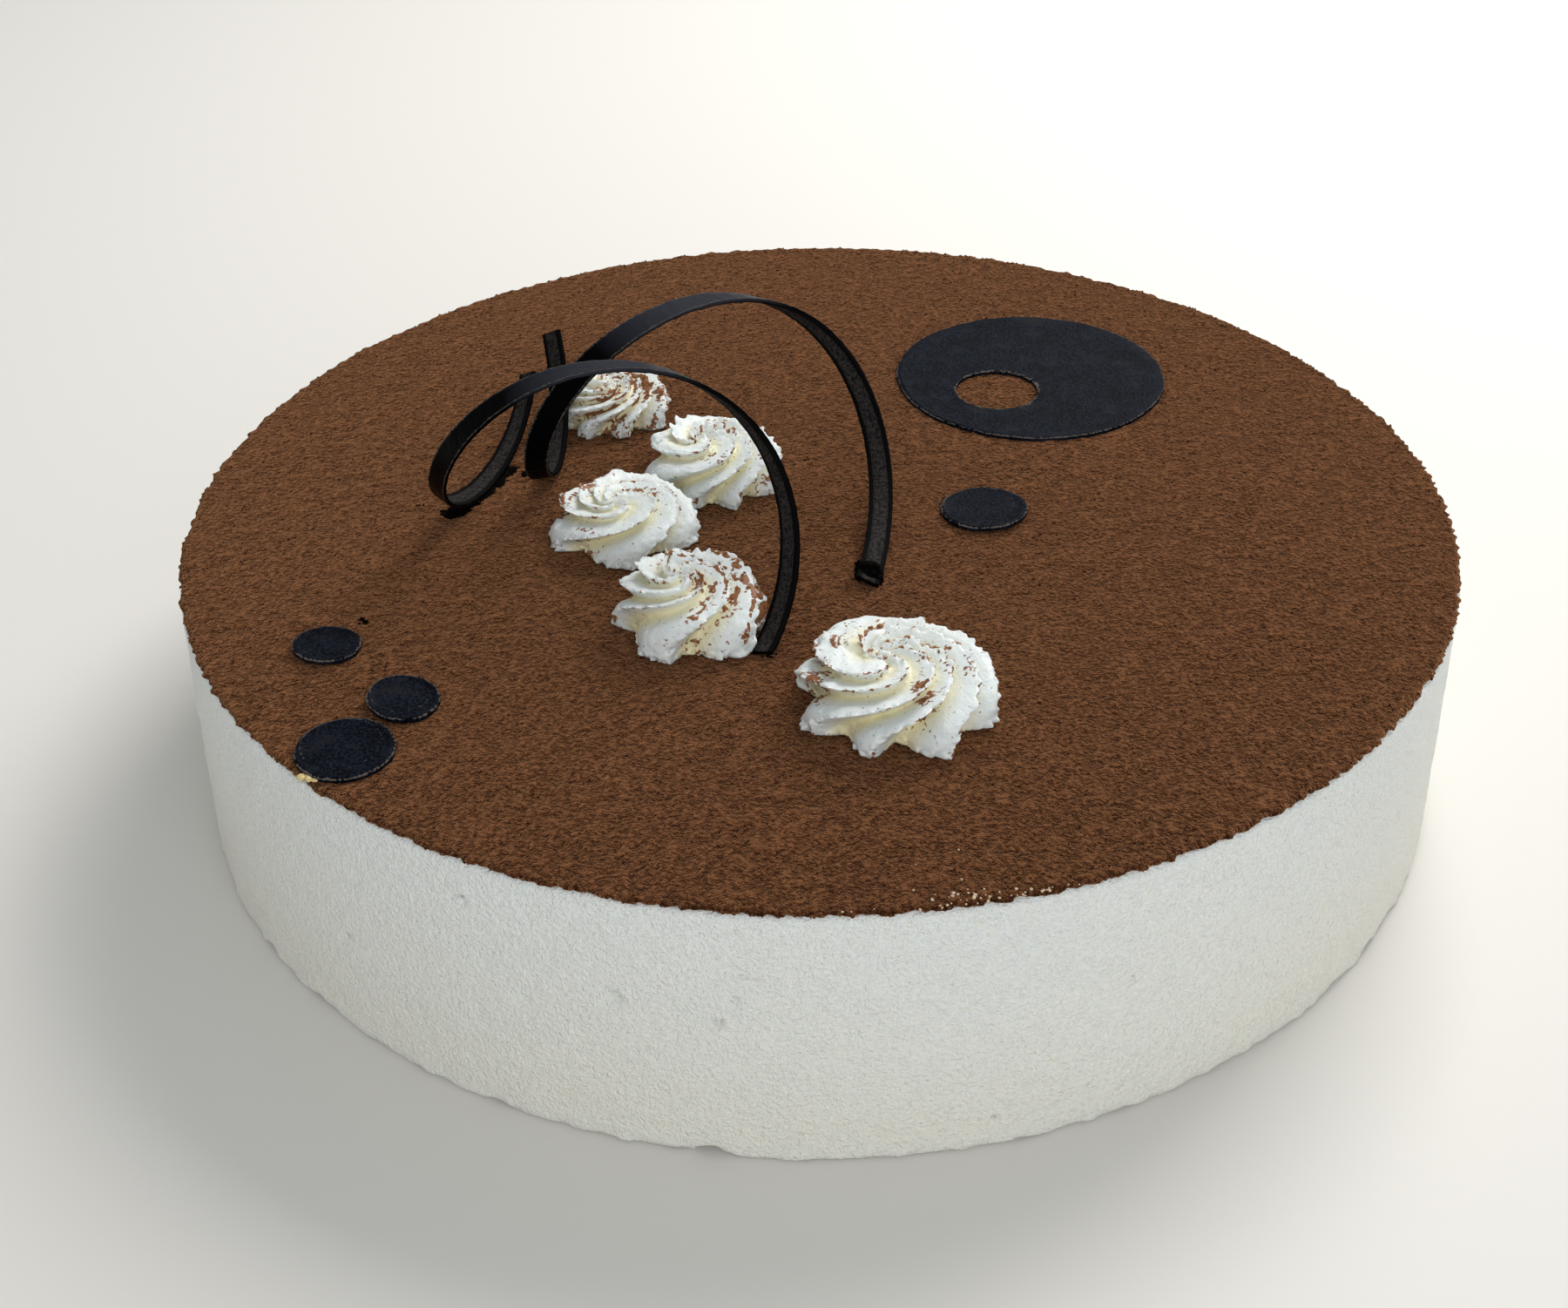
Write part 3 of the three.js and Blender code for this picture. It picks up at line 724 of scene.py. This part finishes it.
# Each has its place and size in millimetres, how far its ridges wind in degrees, its pole as shares of the
# radius, the directions of its ridges at the foot, where the stroke began, how much cocoa lies along the
# ridges, and its patches of caught cocoa: direction, share of the radius, reach and strength.
ROSETTES = {
    "rosette_1": {"place": (-40.8, 36.0), "radius": 12.4, "height": 9.2, "sweep": 205,
                  "pole": (-0.15, -0.05), "ends": [-150, -115, -75, -30, 60, 125, 165],
                  "start": 175, "lines": 0.5,
                  "caught": [(60, 0.5, 8.0, 1.5), (-20, 0.6, 6.0, 1.4), (-95, 0.5, 5.5, 1.1),
                             (120, 0.5, 6.0, 1.4)]},
    "rosette_2": {"place": (-19.6, 9.2), "radius": 14.0, "height": 10.5, "sweep": 215,
                  "pole": (-0.24, -0.05), "ends": [-150, -106, -72, -31, 55, 140],
                  "start": 165, "lines": 0.9,
                  "caught": [(60, 0.3, 3.5, 0.55), (-30, 0.85, 3.0, 0.6), (-90, 0.5, 3.0, 0.4)]},
    "rosette_3": {"place": (-36.2, -11.2), "radius": 14.2, "height": 9.4, "sweep": 250,
                  "pole": (-0.16, -0.18), "ends": [-150, -75, -14, 60, 130],
                  "start": 140, "lines": 0.7,
                  "caught": [(135, 0.8, 5.0, 1.3), (178, 0.95, 4.0, 1.1), (60, 0.3, 3.0, 0.9),
                             (15, 0.5, 2.5, 0.9), (-125, 0.85, 3.0, 0.6)]},
    "rosette_4": {"place": (-23.1, -43.6), "radius": 13.6, "height": 13.0, "sweep": 215,
                  "pole": (-0.14, -0.10), "ends": [-105, -38, -5, 75, 140, 184],
                  "start": 140, "lines": 0.7,
                  "caught": [(0, 0.75, 5.5, 1.4), (45, 0.6, 4.5, 1.1), (100, 0.3, 4.0, 1.1),
                             (-20, 0.35, 4.5, 1.3), (-75, 0.75, 3.0, 0.8), (-30, 1.0, 4.0, 1.2)]},
    "rosette_5": {"place": (12.2, -67.8), "radius": 17.0, "height": 12.2, "sweep": 215,
                  "pole": (-0.24, -0.12), "ends": [-148, -108, -64, -19, 112, 164],
                  "start": 150, "lines": 1.0,
                  "caught": [(120, 0.45, 4.5, 1.2), (-12, 0.45, 3.8, 1.2), (165, 0.75, 3.0, 0.9),
                             (-70, 0.6, 2.5, 0.9), (195, 0.85, 3.0, 0.7)]},
}
MEETS = {"rosette_2": "rosette_3", "rosette_3": "rosette_2"}
RIDGE_DEPTH = 0.33
SWEEP_POWER = 0.92
RIDGES_LEFT_AT_POLE = 0.4
FULL_RIDGE_WIDTH = 42
CREASE_AFTER_END = 15
FARTHEST_CREASE = 0.36
CREASE_ALL_ROUND = 0.86
SHALLOWER_AT_START = 0.14
BLUNT_AT_FOOT = 1.3
ROUNDING_POWER = 0.72
FLATNESS_POWER = 0.75
POLE_DIP = 0.9
FOOT_INSET = 0.86
WIDEST_AT = 0.09
COLUMNS_AROUND = 400
ROSETTE_ROWS = 132
ROSETTE_REST = 50.45
TEAR_DEPTH = 1.2
CREAM_SKIN = 0.10
CREAM_WHITE = (0.70, 0.745, 0.735)
# The crease colour is painted shade, pale yellow.
CREAM_CREASE_SHADE = (0.76, 0.705, 0.46)
CREAM_STAIN = (0.25, 0.098, 0.036)


def cream_material():
    """White on the ridges, with painted shade that makes the creases pale yellow, and stained where the cocoa
    has caught.
    """
    material, tree, shader = new_material("whipped_cream")
    grain, _ = uneven_grain(tree, 420.0, 1900.0, 0.45)
    # Painted shade in the creases, deeper lower down.
    cream = colour_between(tree, marked(tree, "hollow"), 0.15, 0.80, CREAM_WHITE, CREAM_CREASE_SHADE)
    reach_of_dust = reckon(tree, "MULTIPLY_ADD", marked(tree, "dusted"), 0.40, noise(tree, 1500.0, 2.0))
    stained = colour_between(tree, reach_of_dust, 0.66, 0.74, cream, CREAM_STAIN)
    set_inputs(tree, shader, Base_Color=stained, Roughness=0.48, Specular_IOR_Level=0.40,
               Subsurface_Weight=0.35, Subsurface_Radius=(1.0, 0.85, 0.6), Subsurface_Scale=1.3 * MM,
               Normal=bumped(tree, grain, 0.28, 0.8))
    return material


def ridge_columns(ends):
    """The columns of a rosette: their ridge, how far on from its end, its width, and their direction."""
    widths = np.diff(ends + [ends[0] + 360])
    columns = []
    for ridge, (end, width) in enumerate(zip(ends, widths)):
        count = max(14, round(COLUMNS_AROUND * width / 360))
        for step in range(count):
            columns.append((ridge, step / count, width, end + width * step / count))
    return np.array(columns).T


def rosette_shape(settings, seed):
    """The points of one rosette, with how deep each lies in a hollow, which sets its painted crease shade,
    and how dusty it is.
    """
    radius = settings["radius"]
    height = settings["height"]
    ridge, part, width, direction = ridge_columns(settings["ends"])
    ridge = ridge.astype(int)
    around = len(ridge)
    ridges = len(settings["ends"])
    draw = np.random.default_rng(seed)
    ridge_size = draw.uniform(-0.05, 0.05, ridges)
    row = np.arange(ROSETTE_ROWS)[:, None]
    rise = row / ROSETTE_ROWS * math.pi / 2
    out = np.cos(rise) ** ROUNDING_POWER
    up = WIDEST_AT + (1 - WIDEST_AT) * np.sin(rise) ** FLATNESS_POWER
    ease = part * part * (3 - 2 * part)
    size = ridge_size[ridge] * (1 - ease) + ridge_size[(ridge + 1) % ridges] * ease
    crease_at = np.minimum(FARTHEST_CREASE, CREASE_AFTER_END / width)
    crease = np.sin(math.pi * part ** (math.log(0.5) / np.log(crease_at)))
    valley = np.clip(crease, 0, 1) ** (1.15 + BLUNT_AT_FOOT * out**4)
    depth = RIDGE_DEPTH * np.clip(width / FULL_RIDGE_WIDTH, 0.45, 1)
    depth = depth * np.where(width > 2 * FULL_RIDGE_WIDTH, 0.7, 1)
    to_start = np.cos(np.radians(direction - settings["start"]))
    depth = depth * (CREASE_ALL_ROUND - SHALLOWER_AT_START * to_start)
    depth = depth * (RIDGES_LEFT_AT_POLE + (1 - RIDGES_LEFT_AT_POLE) * out)
    sunk = (1 - depth * valley) * (1 + size * out)
    wound = np.radians(direction + settings["sweep"] * (1 - out) ** SWEEP_POWER)
    pole_x, pole_y = settings["pole"]
    x = radius * (out * sunk * np.cos(wound) + (1 - out) * pole_x)
    y = radius * (out * sunk * np.sin(wound) + (1 - out) * pole_y)
    z = height * up * (1 - 0.75 * depth * valley) - POLE_DIP * (1 - out) ** 3
    points = np.stack([x, y, z], -1).reshape(-1, 3)
    off_crest = np.minimum(part, 1 - part) * np.radians(width) * radius * np.maximum(out, 0.15)
    crest = np.exp(-((off_crest / 0.8) ** 2)).ravel()
    hollow = (valley**1.5 * np.clip(1.3 - up / 1.6, 0, 1)).ravel()
    near_pole = np.clip(1 - out * 2.6, 0, 1).repeat(around)
    middle = np.array([pole_x, pole_y, 0]) * radius * 0.5
    outward = points - middle
    outward /= np.linalg.norm(outward, axis=1)[:, None]
    tears = soft_noise(points, 1.3, seed) * 0.65 + soft_noise(points, 0.65, seed + 1) * 0.45
    skirt = 1.15 * np.exp(-(((points[:, 2] - WIDEST_AT * height) / 1.0) ** 2)) + 0.1
    torn = np.maximum(crest, skirt) * TEAR_DEPTH * np.clip(tears, -0.8, 0.5)
    at_start = np.cos(np.arctan2(points[:, 1], points[:, 0]) - math.radians(settings["start"]))
    broken = np.clip(at_start * 1.5 - 0.4, 0, 1) * np.clip(points[:, 2] / height * 2 - 0.7, 0, 1)
    lumps = (near_pole * 0.5 + broken) * soft_noise(points, 2.4, seed + 2)
    skin = CREAM_SKIN * soft_noise(points, 0.9, seed + 3) + 0.2 * soft_noise(points, 3.4, seed + 4)
    points += outward * (torn + lumps + skin)[:, None]
    across_ridges = np.broadcast_to(direction / 7.0, x.shape).ravel()
    along_ridges = np.broadcast_to(rise * radius / 2.6, x.shape).ravel()
    drawn = np.stack([across_ridges, along_ridges, 0 * across_ridges], 1)
    streaks = (soft_noise(drawn, 1.0, seed + 5) * 0.55 + soft_noise(points, 1.6, seed + 6) * 0.4
               + soft_noise(points, 0.7, seed + 8) * 0.4)
    side = np.zeros(len(points))
    for bearing, share, reach, strength in settings["caught"]:
        aim = np.array([math.cos(math.radians(bearing)), math.sin(math.radians(bearing))]) * radius * share
        away = np.hypot(points[:, 0] - aim[0], points[:, 1] - aim[1])
        side = np.maximum(side, strength * np.exp(-((away / reach) ** 2)))
    dusty = side * np.clip(streaks * 3.0 + 0.25, 0, 1.3)
    broken_line = np.clip(soft_noise(points, 1.2, seed + 7) * 3 - 0.6, 0, 1)
    fine_line = np.exp(-((off_crest / 0.5) ** 2)).ravel() * broken_line
    dusty = np.maximum(dusty, settings["lines"] * fine_line * 0.9)
    points += [settings["place"][0], settings["place"][1], ROSETTE_REST]
    return points, around, hollow, np.clip(dusty, 0, 1.4)


def press_flat(points, own, neighbour):
    """Holds a rosette's points back at the upright plane where its neighbour begins."""
    start = np.array(own["place"])
    towards = np.array(neighbour["place"]) - start
    apart = np.linalg.norm(towards)
    towards /= apart
    limit = apart * own["radius"] / (own["radius"] + neighbour["radius"])
    beyond = np.maximum(0, (points[:, :2] - start) @ towards - limit)
    points[:, :2] -= beyond[:, None] * towards * 0.9


def rosette_piece(name, settings, material, seed):
    points, around, hollow, dusty = rosette_shape(settings, seed)
    if name in MEETS:
        press_flat(points, settings, ROSETTES[MEETS[name]])
    low = points[:around].copy()
    middle = np.array([*settings["place"], ROSETTE_REST])
    low[:, :2] = middle[:2] + (low[:, :2] - middle[:2]) * FOOT_INSET
    low[:, 2] = ROSETTE_REST
    pole = points[-around:].mean(axis=0)
    everything = np.concatenate([[middle], low, points, [pole]])
    faces = ring_faces([1] + [around] * (ROSETTE_ROWS + 1) + [1], around)
    piece = piece_from(name + "_cream", everything, faces, material, name)
    pad = np.zeros(1)
    give_mask(piece.data, "hollow", np.concatenate([pad, hollow[:around], hollow, pad]))
    dusty = np.concatenate([pad, np.zeros(around), dusty, pad])
    give_mask(piece.data, "dusted", dusty)
    return everything, faces, dusty


whipped_cream = cream_material()
caught_cocoa = grained_material("caught_cocoa", 500.0, 2500.0, (0.13, 0.050, 0.015), (0.26, 0.118, 0.040),
                                0.95, shine=0.15)
ground_points, ground_faces, ground_dust = [], [], []
for number, (name, settings) in enumerate(ROSETTES.items()):
    points, faces, dusty = rosette_piece(name, settings, whipped_cream, 200 + 17 * number)
    shift = sum(map(len, ground_points))
    ground_faces += [tuple(corner + shift for corner in face) for face in faces]
    ground_points.append(points)
    ground_dust.append(dusty)
together = bpy.data.meshes.new("rosettes_together")
together.from_pydata((np.concatenate(ground_points) * MM).tolist(), [], ground_faces)
give_mask(together, "dusted", np.maximum(0, np.concatenate(ground_dust) - 0.35))
strew("rosette_cocoa", together, "dusted", 3.2, (0.25, 0.75), 0.45, -0.05, 50, caught_cocoa, "cocoa")
bpy.data.meshes.remove(together)


# The curls: two long strips of tempered dark chocolate, spread on a film, cut and wound while soft. The side
# that lay on the film is glossy, the other dull and grainy; both stand on one end, arch over, touch the
# cocoa and rise again, and their ends are snapped off.

# Each is one coil: where its middle line sets out and its heading and climb in degrees, the radius and how it
# changes over a turn, how much wider than high it is wound, its advance to a turn, how the strip is banked at
# the start, halfway and after a turn, its width, and the angles of its two ends.
CURLS = {
    "curl_front": {"foot": (-9.9, -58.7), "heading": 130.7, "climb": -0.6, "radius": 24.7,
                   "tightening": 2.6, "belly": -4.7, "spread": 1.04, "pinch": 0.0, "advance": 81.2,
                   "lag": 12.0, "turned_back": 15.6, "bank": (14, -2, -4), "width": 4.4,
                   "first": 22.0, "last": 436.8},
    "curl_rear": {"foot": (4.9, -20.7), "heading": 150.0, "climb": -6.2, "radius": 24.5,
                  "tightening": 5.6, "belly": -4.3, "spread": 1.38, "pinch": 0.29, "advance": 69.6,
                  "lag": -10.8, "turned_back": -25.6, "bank": (-12, 19, 9), "width": 4.5,
                  "first": -37.4, "last": 420.5},
}
STRIP_THICKNESS = 0.8
STRIP_EDGE = 0.16
STRIP_UNEVEN = 0.34
STRIP_STEPS = 640
STRIP_REST = 50.75
DULL_DARK = (0.0066, 0.0060, 0.0062)
DULL_LIGHT = (0.038, 0.034, 0.032)
DULL_EDGE = (0.0035, 0.0033, 0.0036)
GLOSS_BLACK = (0.0012, 0.0012, 0.0016)
# The grey of the outer face where it looks up is a painted reflection of the bright light above.
GLOSS_PAINTED_SHEEN = (0.027, 0.028, 0.036)
STRIP_WORN = (0.085, 0.076, 0.068)


def curl_material():
    """Glossy outside, with a painted sheen of reflected light where it looks up, dull and grainy inside, worn
    pale along the edges.
    """
    material, tree, shader = new_material("glossy_dark_chocolate")
    grain, patches = uneven_grain(tree, 1400.0, 3200.0, 0.5)
    facing = marked(tree, "facing")
    upward = add_node(tree, "ShaderNodeSeparateXYZ", Vector=marked(tree, "outward", "Vector")).outputs["Z"]
    to_edge = reckon(tree, "ABSOLUTE", marked(tree, "across"))
    wavy_edge = reckon(tree, "MULTIPLY_ADD", patches, 0.35, to_edge)
    dull = colour_between(tree, grain, 0.40, 0.60, DULL_DARK, DULL_LIGHT)
    inner = colour_between(tree, wavy_edge, 0.72, 0.84, dull, DULL_EDGE)
    # Painted reflection: the outer face turns grey where it looks up.
    outer = colour_between(tree, upward, 0.76, 1.0, GLOSS_BLACK, GLOSS_PAINTED_SHEEN)
    sides = colour_between(tree, facing, -0.55, -0.2, inner, outer)
    rim_worn = reckon(tree, "MULTIPLY_ADD", grain, 0.5, reckon(tree, "MULTIPLY", to_edge, facing))
    colour = colour_between(tree, rim_worn, 1.10, 1.22, sides, STRIP_WORN)
    rough = between(tree, facing, -0.4, 0.3, 0.70, 0.33)
    set_inputs(tree, shader, Base_Color=colour, Roughness=rough, Specular_IOR_Level=0.014,
               Normal=bumped(tree, grain, 0.16, 0.8))
    return material


def with_mark(tree, shape, name, value):
    """The shape with a value kept at its points under a name."""
    node = add_node(tree, "GeometryNodeStoreNamedAttribute", {"data_type": "FLOAT", "domain": "POINT"},
                    Geometry=shape, Name=name)
    tree.links.new(value, next(socket for socket in node.inputs if socket.name == "Value" and socket.enabled))
    return node.outputs[0]


def strip_tree():
    """Geometry nodes that draw a flat strip along a path whose points know which way its outer face looks."""
    tree, given = shape_tree("wound_strip", Width="Float", Thickness="Float", Edge="Float", Roughness="Float",
                             Seed="Float", Material="Material")
    path = add_node(tree, "GeometryNodeMeshToCurve", Mesh=given["Geometry"])
    outward = add_node(tree, "GeometryNodeInputNamedAttribute", {"data_type": "FLOAT_VECTOR"}, Name="outward")
    aimed = add_node(tree, "GeometryNodeSetCurveNormal", {"mode": "FREE"}, Curve=path.outputs[0],
                     Normal=outward.outputs[0])
    section = add_node(tree, "GeometryNodeCurvePrimitiveQuadrilateral", {"mode": "RECTANGLE"},
                       _0=given["Thickness"], _1=given["Width"])
    rounded = add_node(tree, "GeometryNodeFilletCurve", {"mode": "POLY"}, Curve=section.outputs[0], Count=3,
                       Radius=given["Edge"])
    split = add_node(tree, "GeometryNodeSubdivideCurve", Curve=rounded.outputs[0], Cuts=5)
    place = add_node(tree, "GeometryNodeInputPosition")
    parts = add_node(tree, "ShaderNodeSeparateXYZ", Vector=place.outputs[0]).outputs
    across = reckon(tree, "DIVIDE", parts["Y"], reckon(tree, "MULTIPLY", given["Width"], 0.5))
    facing = reckon(tree, "DIVIDE", parts["X"], reckon(tree, "MULTIPLY", given["Thickness"], 0.5))
    profile = with_mark(tree, with_mark(tree, split.outputs[0], "across", across), "facing", facing)
    swept = add_node(tree, "GeometryNodeCurveToMesh", Curve=aimed.outputs[0], Profile_Curve=profile,
                     Fill_Caps=True)
    drift = add_node(tree, "ShaderNodeTexNoise", {"noise_dimensions": "4D"}, Scale=620.0, Detail=3.0,
                     W=given["Seed"])
    centred = add_node(tree, "ShaderNodeVectorMath", {"operation": "SUBTRACT"}, _0=drift.outputs["Color"],
                       _1=(0.5, 0.5, 0.5))
    push = add_node(tree, "ShaderNodeVectorMath", {"operation": "SCALE"}, _0=centred.outputs[0],
                    Scale=given["Roughness"])
    worn = add_node(tree, "GeometryNodeSetPosition", Geometry=swept.outputs[0], Offset=push.outputs[0])
    return end_tree(tree, worn.outputs[0], given["Material"])


def over_turn(values, turns):
    """A value that goes smoothly through three, given at the start, at half a turn and after a whole one."""
    at_start, at_half, at_end = values
    return (at_start + (4 * at_half - 3 * at_start - at_end) * turns
            + (2 * (at_start + at_end) - 4 * at_half) * turns**2)


def coil(curl):
    """The middle line of a wound strip, with the direction that its outer face looks at each point."""
    heading = math.radians(curl["heading"])
    climb = math.radians(curl["climb"])
    ahead_x, ahead_y = math.cos(heading), math.sin(heading)
    along = np.array([ahead_x * math.cos(climb), ahead_y * math.cos(climb), math.sin(climb)])
    upward = np.array([-ahead_x * math.sin(climb), -ahead_y * math.sin(climb), math.cos(climb)])
    aside = np.cross(along, upward)
    angle = np.radians(np.linspace(curl["first"], curl["last"], STRIP_STEPS))
    turns = angle / (2 * math.pi)
    wound = angle - math.radians(curl["turned_back"])
    radius = curl["radius"] - curl["tightening"] * turns + curl["belly"] * 4 * turns * (1 - turns)
    narrowed = curl["spread"] * (1 - curl["pinch"] * turns * (1 + np.cos(wound)) / 2)
    advance = curl["advance"] * turns + curl["lag"] * (turns**2 - turns)
    middle = (np.array([*curl["foot"], 0.0]) + np.outer(advance, along)
              + np.outer(radius * narrowed * np.sin(wound), aside)
              + np.outer(curl["radius"] - radius * np.cos(wound), upward))
    forward = np.gradient(middle, angle, axis=0)
    forward /= np.linalg.norm(forward, axis=1)[:, None]
    outward = np.outer(np.sin(wound), aside) - np.outer(np.cos(wound), upward)
    outward -= np.sum(outward * forward, axis=1)[:, None] * forward
    outward /= np.linalg.norm(outward, axis=1)[:, None]
    across = np.cross(outward, forward)
    bank = -np.radians(over_turn(curl["bank"], turns))[:, None]
    turned_out, turned_across = (arrow * np.cos(bank) + np.cross(forward, arrow) * np.sin(bank)
                                 for arrow in (outward, across))
    lowest = (middle[:, 2] - np.abs(turned_across[:, 2]) * curl["width"] / 2
              - np.abs(turned_out[:, 2]) * STRIP_THICKNESS / 2).min()
    middle[:, 2] += STRIP_REST - lowest
    return middle, turned_out


glossy_chocolate = curl_material()
wound_strip = strip_tree()
for number, (name, curl) in enumerate(CURLS.items()):
    middle, outward = coil(curl)
    line = bpy.data.meshes.new(name + "_chocolate")
    line.from_pydata((middle * MM).tolist(), [(i, i + 1) for i in range(STRIP_STEPS - 1)], [])
    give_direction(line, "outward", outward)
    made_by(wound_strip, line, name + "_chocolate", "curl", name, Width=curl["width"] * MM,
            Thickness=STRIP_THICKNESS * MM, Edge=STRIP_EDGE * MM, Roughness=STRIP_UNEVEN * MM,
            Seed=float(7 + number), Material=glossy_chocolate)


# The crumbs: flakes and dust of dark chocolate that broke off where the curls touch the cocoa and were stuck
# down, and a few that fell by the flat discs. The dense heaps under the curls' touchdowns and the lumps at
# the rear curl's foot are partly these crumbs and partly painted contact shadow.
# Each heap: from where to where it lies, how far it spreads, how many crumbs it has and the widest of them.
CRUMB_AND_SHADOW_HEAPS = [
    ((-71.2, -3.6), (-67.4, -2.2), 0.55, 170, 1.7),
    ((-70.0, -1.8), (-66.0, 0.2), 0.5, 160, 1.8),
    ((-66.0, -0.2), (-63.4, 6.0), 0.4, 140, 1.6),
    ((-63.0, 7.5), (-60.2, 13.5), 0.45, 150, 1.7),
    ((-57.5, 11.8), (-52.0, 12.6), 0.5, 110, 1.6),
    ((-77.2, -0.3), (-75.8, -0.3), 0.3, 7, 1.2),
    ((-82.0, -40.4), (-81.0, -39.6), 0.5, 8, 1.2),
    ((6.8, -28.6), (11.0, -30.0), 0.6, 46, 1.3),
    ((-11.2, -52.6), (-8.2, -53.2), 0.5, 14, 1.0),
]
NARROWEST_CRUMB = 0.3
# Lumps at the snapped foot of the rear curl, partly its broken end and partly painted shadow: place, lift and
# width.
END_LUMPS_AND_SHADOW = [(7.4, -27.9, 1.2, 3.0), (8.8, -28.4, 1.3, 3.2), (10.2, -28.9, 1.2, 3.0), (7.5, -27.8, 2.5, 2.6),
             (8.9, -28.3, 2.6, 2.8), (10.2, -28.7, 2.5, 2.6), (7.7, -29.3, 1.0, 3.0), (9.0, -29.8, 1.1, 3.2),
             (10.3, -30.2, 1.0, 2.8), (8.4, -29.3, 1.9, 2.4), (9.7, -29.7, 1.9, 2.4)]


def crumb_and_shadow_heaps():
    draw = np.random.default_rng(95)
    crumbs = [(x, y, COCOA_TOP + lift, width) for x, y, lift, width in END_LUMPS_AND_SHADOW]
    for start, end, spread, count, widest in CRUMB_AND_SHADOW_HEAPS:
        for _ in range(count):
            share = draw.uniform()
            middle = np.array(start) * (1 - share) + np.array(end) * share
            x, y = draw.normal(middle, spread)
            crumbs.append((x, y, COCOA_TOP + 0.1, draw.uniform(NARROWEST_CRUMB, widest)))
    return crumbs


# Near black, for the crumbs and for the painted contact shadow they stand in for.
crumb_and_shadow_chocolate = grained_material("chocolate_crumbs_and_shadow", 800.0, 2600.0, (0.0008, 0.0008, 0.0009),
                                   (0.0045, 0.0033, 0.0027), 0.75, shine=0.01)
specks_piece("chocolate_crumbs_and_shadow", crumb_and_shadow_heaps(), crumb_and_shadow_chocolate, 0.55, 96)
